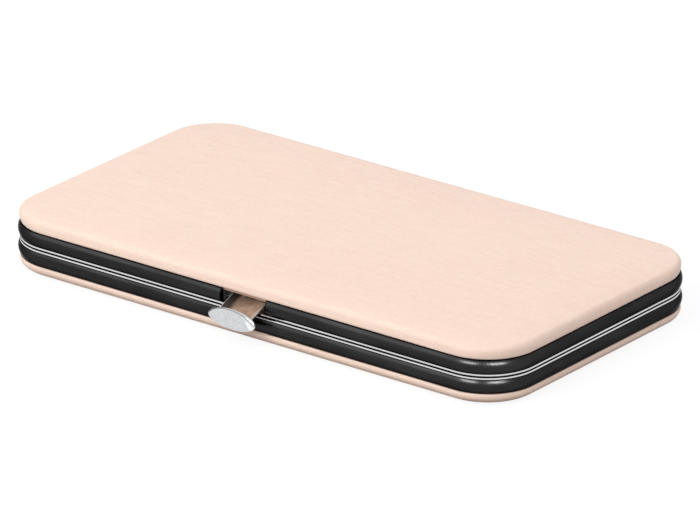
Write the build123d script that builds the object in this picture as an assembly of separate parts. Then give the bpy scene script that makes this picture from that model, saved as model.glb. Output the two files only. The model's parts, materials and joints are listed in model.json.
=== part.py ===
from build123d import *
import os
from math import cos, radians, sin

# A slim clam-shell pedicure case with its tools. Sizes are in millimetres.
# X runs along the length, the catch is at -Y and the hinges are at +Y.
# Z = 0 is the underside. Each half is built with its depth measured up from
# the parting plane, and the base half is then turned over.

# Outline of the bright lips
LENGTH = 165.0
WIDTH = 88.5
CORNER = 14.5

# Depth of each half from the parting plane
BASE_DEPTH = 8.0
LID_DEPTH = 8.2
LID_CROWN = 0.4
CROWN_REACH = 11.0

# Steel rims
LIP_GAP = 0.5
LIP_THICK = 0.5
RIM_REACH = 2.5
RIM_WALL = 0.5
RIM_HEIGHT = 4.6

# Black outer bands
BAND_TOP = 4.6
BAND_STEP = 0.1
BAND_BULGE = 0.45
BAND_TOP_INSET = 0.35
BAND_BACK = 0.95

# Board shells, foam and fabric
BOARD_WALL = 0.6
BOARD_ROOF = 0.7
HEM_THICK = 0.3
HEM_DEEP = 2.2
FABRIC = 0.45
FABRIC_INSET = 0.5
FABRIC_BULGE = 0.6
EDGE_ROUND = 2.4
EDGE_STEPS = 5
CROWN_STEPS = 4
FOAM = 1.15
LINING_THICK = 0.9
GLUE = 0.05
SEAT_GAP = 0.3

# Moulded tool tray
TRAY_TOP = 1.4
TRAY_SIDE_GAP = 0.1
TRAY_EDGE = 0.8
TRAY_EDGE_UP = 0.7
POCKET_FLOOR = 4.7
POCKET_ROUND = 1.5
POCKET_ROOM = 0.7
RELIEF_ROOM = 0.6

# Catch lever and its bracket
NOTCH_HALF = 7.2
NOTCH_TOP = 3.9
PLATE_HALF = 5.5
PLATE_THICK = 0.5
PLATE_SIDE_GAP = 0.4
PIVOT_IN = 3.65
PIVOT_UP = 2.87
PLATE_SLOPE = 21.8
PLATE_REACH = 8.75
CATCH_TRAVEL = 12.0
CATCH_BARREL_R = 0.85
CATCH_PIN_R = 0.5
CATCH_PIN_HEAD = 0.25
CATCH_PIN_HEAD_R = 0.75
EAR_GAP = 0.15
PIN_PLAY = 0.03
SPRING_HALF = 1.75
HOOK_HALF = 5.0
HOOK_THICK = 0.6
HOOK_DROP = 4.6
NOSE_THICK = 0.6
NOSE_CLEAR = 0.15
HEEL_UP = 1.1
BRACKET_THICK = 0.4
BRACKET_TOP = 4.4
BRACKET_LOW = 1.3
FLANGE_OUT = 4.4
EAR_IN = 1.25
PAD_HALF_LONG = 7.6
PAD_HALF_HIGH = 3.0
PAD_THICK = 0.8
PAD_TUCK = 8.0
PAD_DROP = 0.45
PAD_EDGE = 0.3
TAB_HALF = 4.4
TAB_HIGH = 2.2
SPRING_WIRE = 0.28
SPRING_R = 0.72
SPRING_TURNS = 4
SPRING_PITCH = 0.7
SPRING_LEG = 2.6
SPRING_TAIL = 1.05

# Rivets
RIVET_R = 0.5
RIVET_HEAD_R = 0.95
RIVET_HEAD = 0.35
RIVET_PLAY = 0.02

# Hinges
HINGE_X = 45.0
HINGE_HALF = 6.0
HINGE_OUT = 1.05
HINGE_BARREL_R = 1.0
HINGE_PIN_R = 0.5
HINGE_PIN_HEAD = 0.3
HINGE_PIN_HEAD_R = 0.8
KNUCKLE_HALF = 1.9
KNUCKLE_GAP = 0.1
LEAF_THICK = 0.4
LEAF_LENGTH = 3.9
LEAF_RIVET_X = 3.6
LEAF_RIVET_UP = 2.7
HINGE_SIDE_GAP = 0.3
LEAF_GAP = 0.05

# Tools: each has its length and its place in the tray
END_WALL = 2.6
WALL = 1.2
FILE_LENGTH = 126.0
FILE_WIDE = 8.0
FILE_THICK = 1.2
FILE_HANDLE = 42.0
FILE_HANDLE_THICK = 3.6
FILE_TANG = 14.0
FILE_TANG_WIDE = 3.0
FILE_SHADOW = 0.1
FILE_TIP = 14.0
FILE_POINT_HALF = 0.6
FILE_BLADE_INSET = 0.8
FILE_HANDLE_EDGE = 1.0
TOE_LENGTH = 76.0
TOE_WIDE = 13.0
NAIL_LENGTH = 52.0
NAIL_WIDE = 9.5
NAIL_BACK = 4.5
CLIPPER_STEEL = 1.2
CLIPPER_HEIGHT = 5.4
CLIPPER_BITE = 1.3
CLIPPER_POST_R = 1.2
CLIPPER_LEVER = 1.3
CLIPPER_RIVET_R = 1.1
CLIPPER_RIVET_IN = 5.4
CLIPPER_RIVET_PLAY = 0.1
CLIPPER_WELD = 12.0
CLIPPER_JAW = 7.0
CLIPPER_JAW_TIP = 2.2
CLIPPER_JAW_LIP = 1.4
CLIPPER_POST_BACK = 13.0
CLIPPER_POST_HEAD = 0.8
CLIPPER_HOLE_PLAY = 0.35
CLIPPER_HEEL = 4.0
CLIPPER_LEVER_GAP = 0.25
CLIPPER_LEVER_INSET = 1.7
SCISSOR_LOOP_R = 9.4
SCISSOR_BAR = 2.4
SCISSOR_LOOP_OUT = 9.8
SCISSOR_HANDLE = 46.0
SCISSOR_BLADE = 32.0
SCISSOR_STEEL = 1.5
SCISSOR_SCREW_R = 1.4
SCISSOR_HALF = 3.2
SCISSOR_POINT_HALF = 0.3
SCISSOR_SCREW_HEAD = 0.7
SCISSOR_SCREW_RIM = 0.9
TWEEZER_LENGTH = 86.0
TWEEZER_STEEL = 1.1
TWEEZER_WIDE = 7.6
TWEEZER_SPREAD = 4.6
TWEEZER_FORWARD = 2.2
TWEEZER_WELD = 11.0
TWEEZER_END_DROP = 1.4
TWEEZER_STRAIGHT = 40.0
TWEEZER_POINT_HALF = 1.1
TWEEZER_TIP_GAP = 1.6
ROD_R = 1.9
PUSHER_LENGTH = 104.0
TRIMMER_LENGTH = 112.0
ROD_NECK = 9.0
ROD_END = 11.0
ROD_PADDLE = 0.9
ROD_PADDLE_HALF = 2.4
FORK_DEEP = 6.0
FORK_HALF = 2.0

PART_LINE = BASE_DEPTH
FRONT = -WIDTH / 2
BACK = WIDTH / 2
LIP_LOW = LIP_GAP / 2
LIP_TOP = LIP_LOW + LIP_THICK
WALL_OUT = RIM_REACH - RIM_WALL
BOARD_IN = WALL_OUT - GLUE
BOARD_OUT = BOARD_IN - BOARD_WALL
HEM_IN = BOARD_OUT - GLUE
HEM_OUT = HEM_IN - HEM_THICK
FAR = 30.0


def outline(inset):
    """Plan outline at a distance inside the lips."""
    return RectangleRounded(LENGTH - 2 * inset, WIDTH - 2 * inset, CORNER - inset)


def slab(inset, low, high):
    """Plate with the case's outline between two depths."""
    return extrude(Pos(0, 0, low) * outline(inset), high - low)


def hoop(outer, inner, low, high):
    """Upright hoop between two insets."""
    return slab(outer, low, high) - slab(inner, low - 1, high + 1)


def block(x0, x1, y0, y1, z0, z1):
    """Box given by its limits."""
    middle = Pos((x0 + x1) / 2, (y0 + y1) / 2, (z0 + z1) / 2)
    return middle * Box(x1 - x0, y1 - y0, z1 - z0)


def rod(radius, start, end):
    """Round bar between two points."""
    along = Vector(*end) - Vector(*start)
    return extrude(Plane(origin=start, z_dir=along) * Circle(radius), along.length)


def plate(points, thick, low=0.0):
    """Flat piece from a closed plan outline."""
    return Pos(0, 0, low) * extrude(make_face(Polyline(*points, close=True)), thick)


def pillow(foot, low, top, rounding, crown):
    """Solid that leans out from its foot to a rounded edge, with a slightly swollen top."""
    side = foot - FABRIC_BULGE
    levels = [(foot, low)]
    for step in range(EDGE_STEPS + 1):
        turn = radians(90 * step / EDGE_STEPS)
        levels.append((side + rounding * (1 - cos(turn)), top - rounding * (1 - sin(turn))))
    for step in range(1, CROWN_STEPS + 1):
        share = step / CROWN_STEPS
        swell = crown * (1 - (1 - share) ** 2)
        if crown > 0:
            levels.append((side + rounding + share * CROWN_REACH, top + swell))
    sections = [Pos(0, 0, depth) * outline(side).face() for side, depth in levels]
    return loft(sections, ruled=True)


def upper(shape):
    """Puts a half's shape into the lid."""
    return Pos(0, 0, PART_LINE) * shape


def lower(shape):
    """Turns a half's shape over into the base."""
    return Pos(0, 0, PART_LINE) * mirror(shape, about=Plane.XY)


def rim():
    """Steel rim: a bright lip with an upright inner wall."""
    lip = hoop(0, RIM_REACH, LIP_LOW, LIP_TOP)
    wall = hoop(WALL_OUT, RIM_REACH, LIP_LOW, RIM_HEIGHT)
    solid = lip + wall
    for side in (-1, 1):
        half = HINGE_HALF + HINGE_SIDE_GAP
        middle = side * HINGE_X
        inside = BACK - RIM_REACH - 1
        step = LIP_TOP + LEAF_GAP
        solid -= block(middle - half, middle + half, inside, BACK + 1, -1, step)
        for place in leaf_rivet_places(side):
            solid -= rivet_hole(place, BACK, 1)
    return solid


def band():
    """Black hoop that swells out past the lips."""
    low = LIP_TOP + GLUE
    middle = (low + BAND_TOP) / 2
    start = (0, FRONT + BAND_STEP, low)
    bulge = (0, FRONT - BAND_BULGE, middle)
    end = (0, FRONT + BAND_TOP_INSET, BAND_TOP)
    back = FRONT + BAND_BACK
    face = make_face([
        ThreePointArc(start, bulge, end),
        Polyline(end, (0, back, BAND_TOP), (0, back, low), start),
    ])
    return sweep(face, path=outline(0).face().outer_wire())


def board(depth):
    """Pan of stiff board inside the fabric."""
    roof = board_roof(depth)
    return slab(BOARD_OUT, LIP_TOP + GLUE, roof + BOARD_ROOF) - slab(BOARD_IN, 0, roof)


def board_roof(depth):
    """Inner face of the board pan's flat."""
    return depth - FABRIC - FOAM - BOARD_ROOF - 2 * GLUE


def foam(depth, crown):
    """Foam between the board and the fabric."""
    inset = FABRIC_INSET + FABRIC + GLUE
    low = BAND_TOP + GLUE + FABRIC + GLUE
    top = depth - FABRIC - GLUE
    inner = slab(BOARD_OUT - GLUE, low - 1, board_roof(depth) + BOARD_ROOF + GLUE)
    return pillow(inset, low, top, EDGE_ROUND - FABRIC - GLUE, crown) - inner


def cover(depth, crown):
    """Fabric skin with its hem tucked behind the band."""
    low = BAND_TOP + GLUE
    outer = pillow(FABRIC_INSET, low, depth, EDGE_ROUND, crown)
    inner = pillow(FABRIC_INSET + FABRIC, low + FABRIC, depth - FABRIC, EDGE_ROUND - FABRIC, crown)
    skin = outer - inner - slab(HEM_IN, low - 1, low + FABRIC + 1)
    hem = hoop(HEM_OUT, HEM_IN, low - HEM_DEEP, low + FABRIC)
    return skin + hem


def notch(half, low, high):
    """Cut for the catch through the front of the lid's pieces."""
    return block(-half, half, FRONT - 2, FRONT + RIM_REACH + 1, low, high)


def rivet(place, wall_side, out, grip):
    """Rivet along Y through the rim's wall and what it holds."""
    x, z = place
    y = wall_side - out * WALL_OUT
    tail = y - out * grip
    solid = rod(RIVET_R, (x, y, z), (x, tail, z))
    solid += rod(RIVET_HEAD_R, (x, y, z), (x, y + out * RIVET_HEAD, z))
    return solid + rod(RIVET_HEAD_R, (x, tail, z), (x, tail - out * RIVET_HEAD, z))


def rivet_hole(place, wall_side, out):
    """Hole for a rivet's shank, in the rim or in a leaf."""
    x, z = place
    inner = wall_side - out * (RIM_REACH + 2)
    return rod(RIVET_R + RIVET_PLAY, (x, wall_side - out * (WALL_OUT - 0.2), z), (x, inner, z))


def rivet_recess(place, wall_side, out):
    """Hole in the board for a rivet's outer head."""
    x, z = place
    radius = RIVET_HEAD_R + GLUE * 4
    return rod(radius, (x, wall_side - out * HEM_IN, z), (x, wall_side - out * (BOARD_IN + 0.2), z))


def leaf_rivet_places(side):
    """Two rivets in each hinge leaf."""
    middle = side * HINGE_X
    return [(middle - LEAF_RIVET_X, LEAF_RIVET_UP), (middle + LEAF_RIVET_X, LEAF_RIVET_UP)]


def bracket_rivet_places():
    """One rivet in each flange of the catch bracket."""
    x = NOTCH_HALF + FLANGE_OUT / 2
    z = (BRACKET_LOW + RIM_HEIGHT) / 2
    return [(-x, z), (x, z)]


EAR_IN_X = PLATE_HALF + EAR_GAP
EAR_OUT = EAR_IN_X + BRACKET_THICK
FLANGE_END = NOTCH_HALF + FLANGE_OUT
LEAF_GRIP = RIM_WALL + LEAF_GAP + LEAF_THICK
BRACKET_GRIP = RIM_WALL + GLUE + BRACKET_THICK
PIVOT_Y = FRONT + PIVOT_IN


def lid_pieces():
    """Every fixed piece of the lid."""
    rim_cut = notch(NOTCH_HALF, LIP_TOP, NOTCH_TOP)
    lip_cut = notch(PLATE_HALF + PLATE_SIDE_GAP, -1, NOTCH_TOP)
    lid_rim = rim() - rim_cut - lip_cut
    lid_board = board(LID_DEPTH) - notch(NOTCH_HALF, -1, NOTCH_TOP)
    for place in bracket_rivet_places():
        lid_rim -= rivet_hole(place, FRONT, -1)
        lid_board -= rivet_recess(place, FRONT, -1)
    for side in (-1, 1):
        for place in leaf_rivet_places(side):
            lid_board -= rivet_recess(place, BACK, 1)
    roof = board_roof(LID_DEPTH)
    return {
        "lid_rim": upper(lid_rim),
        "lid_band": upper(band() - notch(NOTCH_HALF, -1, BAND_TOP + 1)),
        "lid_board": upper(lid_board),
        "lid_padding": upper(foam(LID_DEPTH, LID_CROWN)),
        "lid_cover": upper(cover(LID_DEPTH, LID_CROWN) - notch(NOTCH_HALF, -1, NOTCH_TOP)),
        "lid_lining": upper(slab(WALL_OUT, roof - GLUE - LINING_THICK, roof - GLUE)),
    }


def base_pieces():
    """Every fixed piece of the base but the tray."""
    base_board = board(BASE_DEPTH)
    for side in (-1, 1):
        for place in leaf_rivet_places(side):
            base_board -= rivet_recess(place, BACK, 1)
    return {
        "base_rim": lower(rim()),
        "base_band": lower(band()),
        "base_board": lower(base_board),
        "base_padding": lower(foam(BASE_DEPTH, 0)),
        "base_cover": lower(cover(BASE_DEPTH, 0)),
    }


def leaf(side, middle_knuckle):
    """One hinge leaf, in a half's own depths, with one or two knuckles."""
    x = side * HINGE_X
    axis_y = BACK + HINGE_OUT
    strap_low = LIP_LOW + LEAF_GAP
    strap_top = strap_low + LEAF_THICK
    leg_out = BACK - RIM_REACH - LEAF_GAP
    leg_in = leg_out - LEAF_THICK
    solid = block(x - HINGE_HALF, x + HINGE_HALF, leg_in, axis_y, strap_low, strap_top)
    solid += block(x - HINGE_HALF, x + HINGE_HALF, leg_in, leg_out, strap_low, LEAF_LENGTH)
    spans = [(-KNUCKLE_HALF, KNUCKLE_HALF)]
    others = [(-HINGE_HALF, -KNUCKLE_HALF), (KNUCKLE_HALF, HINGE_HALF)]
    if not middle_knuckle:
        spans, others = others, spans
    room = HINGE_BARREL_R + KNUCKLE_GAP
    for low, high in others:
        left = x + low - KNUCKLE_GAP
        right = x + high + KNUCKLE_GAP
        solid -= block(left, right, axis_y - room, axis_y + room, -room, room)
    for low, high in spans:
        start = low + (KNUCKLE_GAP if low == KNUCKLE_HALF else 0)
        end = high - (KNUCKLE_GAP if high == -KNUCKLE_HALF else 0)
        solid += rod(HINGE_BARREL_R, (x + start, axis_y, 0), (x + end, axis_y, 0))
    solid -= rod(HINGE_PIN_R + PIN_PLAY, (x - FAR, axis_y, 0), (x + FAR, axis_y, 0))
    for place in leaf_rivet_places(side):
        solid -= rivet_hole(place, BACK, 1)
    return solid


def hinge_pin(side):
    """Hinge pin with a low head at each end."""
    x = side * HINGE_X
    y = BACK + HINGE_OUT
    end = HINGE_HALF + PIN_PLAY
    solid = rod(HINGE_PIN_R, (x - end, y, 0), (x + end, y, 0))
    for way in (-1, 1):
        outer = x + way * (end + HINGE_PIN_HEAD)
        solid += rod(HINGE_PIN_HEAD_R, (x + way * end, y, 0), (outer, y, 0))
    return upper(solid)


def hinge_pieces():
    """Leaves, pins and rivets of both hinges."""
    pieces = {}
    for side, name in ((-1, "left"), (1, "right")):
        pieces["base_hinge_leaf_" + name] = lower(leaf(side, False))
        pieces["lid_hinge_leaf_" + name] = upper(leaf(side, True))
        pieces["hinge_pin_" + name] = hinge_pin(side)
    rivets = [rivet(place, BACK, 1, LEAF_GRIP) for side in (-1, 1) for place in leaf_rivet_places(side)]
    pieces["lid_hinge_rivets"] = Compound([upper(solid) for solid in rivets])
    pieces["base_hinge_rivets"] = Compound([lower(solid) for solid in rivets])
    return pieces


def catch_bracket():
    """Bracket inside the lid's rim that carries the catch's pin."""
    wall_in = FRONT + RIM_REACH + GLUE
    flange_in = wall_in + BRACKET_THICK
    ear_end = PIVOT_Y + EAR_IN
    bridge_low = BRACKET_TOP - BRACKET_THICK
    solid = block(-FLANGE_END, FLANGE_END, wall_in, flange_in, bridge_low, BRACKET_TOP)
    solid += block(-EAR_OUT, EAR_OUT, wall_in, ear_end, bridge_low, BRACKET_TOP)
    for side in (-1, 1):
        inner, outer = sorted((side * EAR_IN_X, side * EAR_OUT))
        solid += block(inner, outer, wall_in, ear_end, BRACKET_LOW, BRACKET_TOP)
        inner, outer = sorted((side * EAR_IN_X, side * FLANGE_END))
        solid += block(inner, outer, wall_in, flange_in, BRACKET_LOW, BRACKET_TOP)
    stop_out = PIVOT_Y + HOOK_THICK / 2 + GLUE
    stop_low = PIVOT_UP + CATCH_BARREL_R + GLUE
    solid += block(-HOOK_HALF, HOOK_HALF, stop_out, stop_out + BRACKET_THICK, stop_low, BRACKET_TOP)
    solid -= block(-SPRING_HALF, SPRING_HALF, flange_in, FAR, stop_low, bridge_low)
    bore = CATCH_PIN_R + PIN_PLAY
    solid -= rod(bore, (-FAR, PIVOT_Y, PIVOT_UP), (FAR, PIVOT_Y, PIVOT_UP))
    for place in bracket_rivet_places():
        solid -= rivet_hole(place, FRONT, -1)
    return upper(solid)


def catch_pin():
    """Pin that the catch lever turns on."""
    end = EAR_OUT + PIN_PLAY
    solid = rod(CATCH_PIN_R, (-end, PIVOT_Y, PIVOT_UP), (end, PIVOT_Y, PIVOT_UP))
    for way in (-1, 1):
        outer = way * (end + CATCH_PIN_HEAD)
        solid += rod(CATCH_PIN_HEAD_R, (way * end, PIVOT_Y, PIVOT_UP), (outer, PIVOT_Y, PIVOT_UP))
    return upper(solid)


def pad_plane():
    """Plane on the push pad's back, facing out."""
    slope = radians(PLATE_SLOPE)
    y = PIVOT_Y - PLATE_REACH * cos(slope)
    z = PIVOT_UP - PLATE_REACH * sin(slope) - PAD_DROP
    tuck = radians(PAD_TUCK)
    return Plane(origin=(0, y, z), x_dir=(1, 0, 0), z_dir=(0, -cos(tuck), -sin(tuck)))


def catch_lever():
    """Sprung lever: plate, knuckles, hook with its nose, and tab for the pad."""
    slope = PLATE_SLOPE
    half = PLATE_THICK / 2
    at_pivot = Pos(0, PIVOT_Y, PIVOT_UP)
    solid = at_pivot * Rot(slope, 0, 0) * block(-PLATE_HALF, PLATE_HALF, -PLATE_REACH, 0, -half, half)
    hook_low = PIVOT_UP - HOOK_DROP
    hook_top = PIVOT_UP + HEEL_UP
    arm = HOOK_THICK / 2
    solid += block(-HOOK_HALF, HOOK_HALF, PIVOT_Y - arm, PIVOT_Y + arm, hook_low, hook_top)
    nose_end = FRONT + RIM_REACH + NOSE_CLEAR
    nose_top = hook_low + NOSE_THICK
    solid += block(-HOOK_HALF, HOOK_HALF, nose_end, PIVOT_Y, hook_low, nose_top)
    solid += rod(CATCH_BARREL_R, (-PLATE_HALF, PIVOT_Y, PIVOT_UP), (PLATE_HALF, PIVOT_Y, PIVOT_UP))
    window = SPRING_R + SPRING_WIRE / 2 + GLUE
    solid -= at_pivot * block(-SPRING_HALF, SPRING_HALF, -window, window, -window, FAR)
    tab = pad_plane() * block(-TAB_HALF, TAB_HALF, -TAB_HIGH / 2, PAD_DROP + half, -PLATE_THICK, 0)
    solid += tab
    solid -= pad_plane() * block(-FAR, FAR, -FAR, FAR, 0, FAR)
    bore = CATCH_PIN_R + PIN_PLAY
    solid -= rod(bore, (-FAR, PIVOT_Y, PIVOT_UP), (FAR, PIVOT_Y, PIVOT_UP))
    return upper(solid)


def catch_pad():
    """Oval push pad with a rounded front edge."""
    solid = extrude(Ellipse(PAD_HALF_LONG, PAD_HALF_HIGH), PAD_THICK)
    front = solid.edges().group_by(Axis.Z)[-1]
    return upper(pad_plane() * fillet(front, PAD_EDGE))


def least_gap(path, turns):
    """Least gap between the turns of a coil, measured on points along it."""
    count = 400
    points = [path @ (step / count) for step in range(count + 1)]
    apart = int(count / turns / 2)
    reach = [(a - b).length for i, a in enumerate(points) for b in points[i + apart:]]
    return min(reach) - SPRING_WIRE


def catch_spring():
    """Torsion spring round the pin: one leg under the plate, the other up to the bracket."""
    turns = SPRING_TURNS + (90 - PLATE_SLOPE) / 360
    length = turns * SPRING_PITCH
    path = Helix(pitch=SPRING_PITCH, height=length, radius=SPRING_R)
    wire = Circle(SPRING_WIRE / 2)
    start = Plane(origin=path @ 0, z_dir=path % 0)
    end = Plane(origin=path @ 1, z_dir=path % 1)
    coil = sweep(start * wire, path=path, is_frenet=True)
    coil += extrude(start * wire, -SPRING_LEG) + extrude(end * wire, SPRING_TAIL)
    print("catch spring, least gap between turns", round(least_gap(path, turns), 2))
    turned = Rot(0, 90, 0) * Rot(0, 0, PLATE_SLOPE) * coil
    return upper(Pos(-length / 2, PIVOT_Y, PIVOT_UP) * turned)


def catch_pieces():
    """The catch: bracket, rivets, pin, lever, pad and spring."""
    rivets = [rivet(place, FRONT, -1, BRACKET_GRIP) for place in bracket_rivet_places()]
    return {
        "catch_bracket": catch_bracket(),
        "catch_rivets": Compound([upper(solid) for solid in rivets]),
        "catch_pin": catch_pin(),
        "catch_lever": catch_lever(),
        "catch_pad": catch_pad(),
        "catch_spring": catch_spring(),
    }


TRAY_SIDE = RIM_REACH + TRAY_SIDE_GAP
POCKET_Z = PART_LINE - POCKET_FLOOR
LEFT = -LENGTH / 2 + TRAY_SIDE + END_WALL
RIGHT = LENGTH / 2 - TRAY_SIDE - END_WALL
TOOL_Z = POCKET_Z + GLUE

HOOK_SWEEP = HOOK_THICK / 2 + HOOK_DROP * sin(radians(CATCH_TRAVEL))
RELIEF_Y = PIVOT_Y + HOOK_SWEEP + RELIEF_ROOM
FILE_Y = RELIEF_Y + WALL + POCKET_ROOM + FILE_WIDE / 2
FILE_X = -FILE_LENGTH / 2
TRIMMER_Y = FILE_Y + FILE_WIDE / 2 + POCKET_ROOM + WALL + ROD_PADDLE_HALF + POCKET_ROOM
TRIMMER_X = -TRIMMER_LENGTH / 2
TOE_Y = TRIMMER_Y + ROD_PADDLE_HALF + POCKET_ROOM + WALL + POCKET_ROOM + TOE_WIDE / 2
TOE_X = LEFT + POCKET_ROOM
SCISSOR_SPAN = SCISSOR_LOOP_OUT + SCISSOR_LOOP_R
SCISSOR_Y = TOE_Y + TOE_WIDE / 2 + POCKET_ROOM + WALL + POCKET_ROOM + SCISSOR_SPAN
SCISSOR_X = LEFT + POCKET_ROOM + SCISSOR_LOOP_R + SCISSOR_HANDLE
TWEEZER_HALF = TWEEZER_SPREAD + TWEEZER_STEEL
TWEEZER_Y = TOE_Y + TOE_WIDE / 2 + POCKET_ROOM + WALL + POCKET_ROOM + TWEEZER_HALF - TWEEZER_FORWARD
TWEEZER_X = RIGHT - POCKET_ROOM - TWEEZER_LENGTH
NAIL_Y = TWEEZER_Y + TWEEZER_HALF + POCKET_ROOM + WALL + POCKET_ROOM + NAIL_WIDE / 2 + NAIL_BACK
NAIL_X = RIGHT - POCKET_ROOM - NAIL_LENGTH
PUSHER_Y = NAIL_Y + NAIL_WIDE / 2 + POCKET_ROOM + WALL + POCKET_ROOM + ROD_PADDLE_HALF
PUSHER_X = RIGHT - POCKET_ROOM - PUSHER_LENGTH


def pocket(x0, x1, y0, y1):
    """Rounded recess in the tray round a tool's plan box."""
    long = x1 - x0 + 2 * POCKET_ROOM
    wide = y1 - y0 + 2 * POCKET_ROOM
    shape = extrude(RectangleRounded(long, wide, POCKET_ROUND), FAR)
    return Pos((x0 + x1) / 2, (y0 + y1) / 2, POCKET_Z) * shape


def tool_tray():
    """Flocked tray with a recess for each tool."""
    roof = board_roof(BASE_DEPTH)
    solid = Pos(0, 0, PART_LINE - roof + GLUE) * extrude(outline(TRAY_SIDE), roof - GLUE - TRAY_TOP)
    edge_low = PART_LINE - TRAY_TOP - GLUE
    solid += hoop(TRAY_SIDE, TRAY_SIDE + TRAY_EDGE, edge_low, PART_LINE + TRAY_EDGE_UP)
    half = FILE_WIDE / 2
    solid -= pocket(FILE_X, FILE_X + FILE_LENGTH, FILE_Y - half, FILE_Y + half)
    half = ROD_PADDLE_HALF
    solid -= pocket(TRIMMER_X, TRIMMER_X + TRIMMER_LENGTH, TRIMMER_Y - half, TRIMMER_Y + half)
    solid -= pocket(PUSHER_X, PUSHER_X + PUSHER_LENGTH, PUSHER_Y - half, PUSHER_Y + half)
    half = TOE_WIDE / 2
    solid -= pocket(TOE_X, TOE_X + TOE_LENGTH, TOE_Y - half, TOE_Y + half)
    half = NAIL_WIDE / 2
    solid -= pocket(NAIL_X, NAIL_X + NAIL_LENGTH, NAIL_Y - half, NAIL_Y + half)
    half = TWEEZER_HALF
    solid -= pocket(TWEEZER_X, TWEEZER_X + TWEEZER_LENGTH, TWEEZER_Y - half, TWEEZER_Y + half)
    loops_end = SCISSOR_X - SCISSOR_HANDLE + SCISSOR_LOOP_R
    loops_start = loops_end - 2 * SCISSOR_LOOP_R
    solid -= pocket(loops_start, loops_end, SCISSOR_Y - SCISSOR_SPAN, SCISSOR_Y + SCISSOR_SPAN)
    shank = SCISSOR_LOOP_OUT + SCISSOR_BAR
    solid -= plate(
        [
            (loops_end - 1, SCISSOR_Y - shank - POCKET_ROOM),
            (SCISSOR_X - SCISSOR_HALF, SCISSOR_Y - SCISSOR_HALF - POCKET_ROOM),
            (SCISSOR_X - SCISSOR_HALF, SCISSOR_Y + SCISSOR_HALF + POCKET_ROOM),
            (loops_end - 1, SCISSOR_Y + shank + POCKET_ROOM),
        ],
        FAR,
        POCKET_Z,
    )
    half = SCISSOR_HALF
    solid -= pocket(SCISSOR_X - 2 * half, SCISSOR_X + SCISSOR_BLADE, SCISSOR_Y - half, SCISSOR_Y + half)
    relief_x = HOOK_HALF + RELIEF_ROOM
    solid -= block(-relief_x, relief_x, FRONT, RELIEF_Y, PART_LINE - LEAF_LENGTH, FAR)
    leg_in = BACK - RIM_REACH - LEAF_GAP - LEAF_THICK - RIVET_HEAD - SEAT_GAP
    for side in (-1, 1):
        half = HINGE_HALF + HINGE_SIDE_GAP
        x = side * HINGE_X
        low = PART_LINE - LEAF_LENGTH - SEAT_GAP
        solid -= block(x - half, x + half, leg_in, BACK, low, FAR)
    return solid


def xz_piece(points, half):
    """Piece from a closed outline in the XZ plane, spread evenly along Y."""
    face = make_face(Polyline(*[(x, 0, z) for x, z in points], close=True))
    return extrude(face, half, dir=(0, 1, 0)) + extrude(face, half, dir=(0, -1, 0))


def clipper_arms(length, wide):
    """Lower arm, upper arm, lever, post and rivet of a nail clipper."""
    steel = CLIPPER_STEEL
    half = wide / 2
    base = steel + GLUE
    jaw_x = length - CLIPPER_JAW
    edge_x = length - CLIPPER_JAW_TIP
    post_x = length - CLIPPER_POST_BACK
    tip_low = (CLIPPER_HEIGHT + base - CLIPPER_BITE) / 2
    tip_high = tip_low + CLIPPER_BITE
    plan = Pos(length / 2, 0, -1) * extrude(RectangleRounded(length, wide, half * 0.45), FAR)
    lower_arm = xz_piece([
        (0, 0), (jaw_x, 0), (edge_x + 1, tip_low - CLIPPER_JAW_LIP), (length, tip_low),
        (edge_x, tip_low), (jaw_x - 1, steel), (0, steel),
    ], half)
    upper_arm = xz_piece([
        (0, base), (CLIPPER_WELD, base), (jaw_x - 1, CLIPPER_HEIGHT - steel), (edge_x, tip_high),
        (length, tip_high), (edge_x + 1, tip_high + CLIPPER_JAW_LIP), (jaw_x, CLIPPER_HEIGHT),
        (CLIPPER_WELD, base + steel), (0, base + steel),
    ], half)
    slope = (CLIPPER_HEIGHT - base - steel) / (jaw_x - CLIPPER_WELD)
    rear_low = base + steel + CLIPPER_LEVER_GAP
    heel = post_x + CLIPPER_HEEL
    heel_low = rear_low + (heel - CLIPPER_WELD) * slope
    lever = xz_piece([
        (CLIPPER_WELD, rear_low), (heel, heel_low), (heel - 0.6, heel_low + CLIPPER_LEVER),
        (CLIPPER_WELD + 1, rear_low + CLIPPER_LEVER),
    ], half)
    lever_wide = wide - 2 * CLIPPER_LEVER_INSET
    lever_plan = RectangleRounded(heel - CLIPPER_WELD, lever_wide, lever_wide * 0.4)
    lever = lever & (Pos((CLIPPER_WELD + heel) / 2, 0, -1) * extrude(lever_plan, FAR))
    collar_low = heel_low + CLIPPER_LEVER + GLUE
    post_top = collar_low + CLIPPER_POST_HEAD
    hole = rod(CLIPPER_POST_R + CLIPPER_HOLE_PLAY, (post_x, 0, -1), (post_x, 0, FAR))
    post = rod(CLIPPER_POST_R, (post_x, 0, GLUE), (post_x, 0, post_top))
    post += rod(CLIPPER_POST_R + CLIPPER_POST_HEAD, (post_x, 0, collar_low), (post_x, 0, post_top))
    stud_x = CLIPPER_RIVET_IN
    stud_hole = rod(CLIPPER_RIVET_R + CLIPPER_RIVET_PLAY, (stud_x, 0, -1), (stud_x, 0, FAR))
    return {
        "lower_jaw": (lower_arm & plan) - hole - stud_hole,
        "upper_jaw": (upper_arm & plan) - hole - stud_hole,
        "lever": lever - hole,
        "post": post,
        "rivet": rod(CLIPPER_RIVET_R, (stud_x, 0, 0), (stud_x, 0, base + steel)),
    }


def clipper_pieces(name, length, wide, x, y):
    """A nail clipper's pieces where it lies in the tray."""
    place = Pos(x, y, TOOL_Z)
    return {name + "_" + part: place * shape for part, shape in clipper_arms(length, wide).items()}


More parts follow.
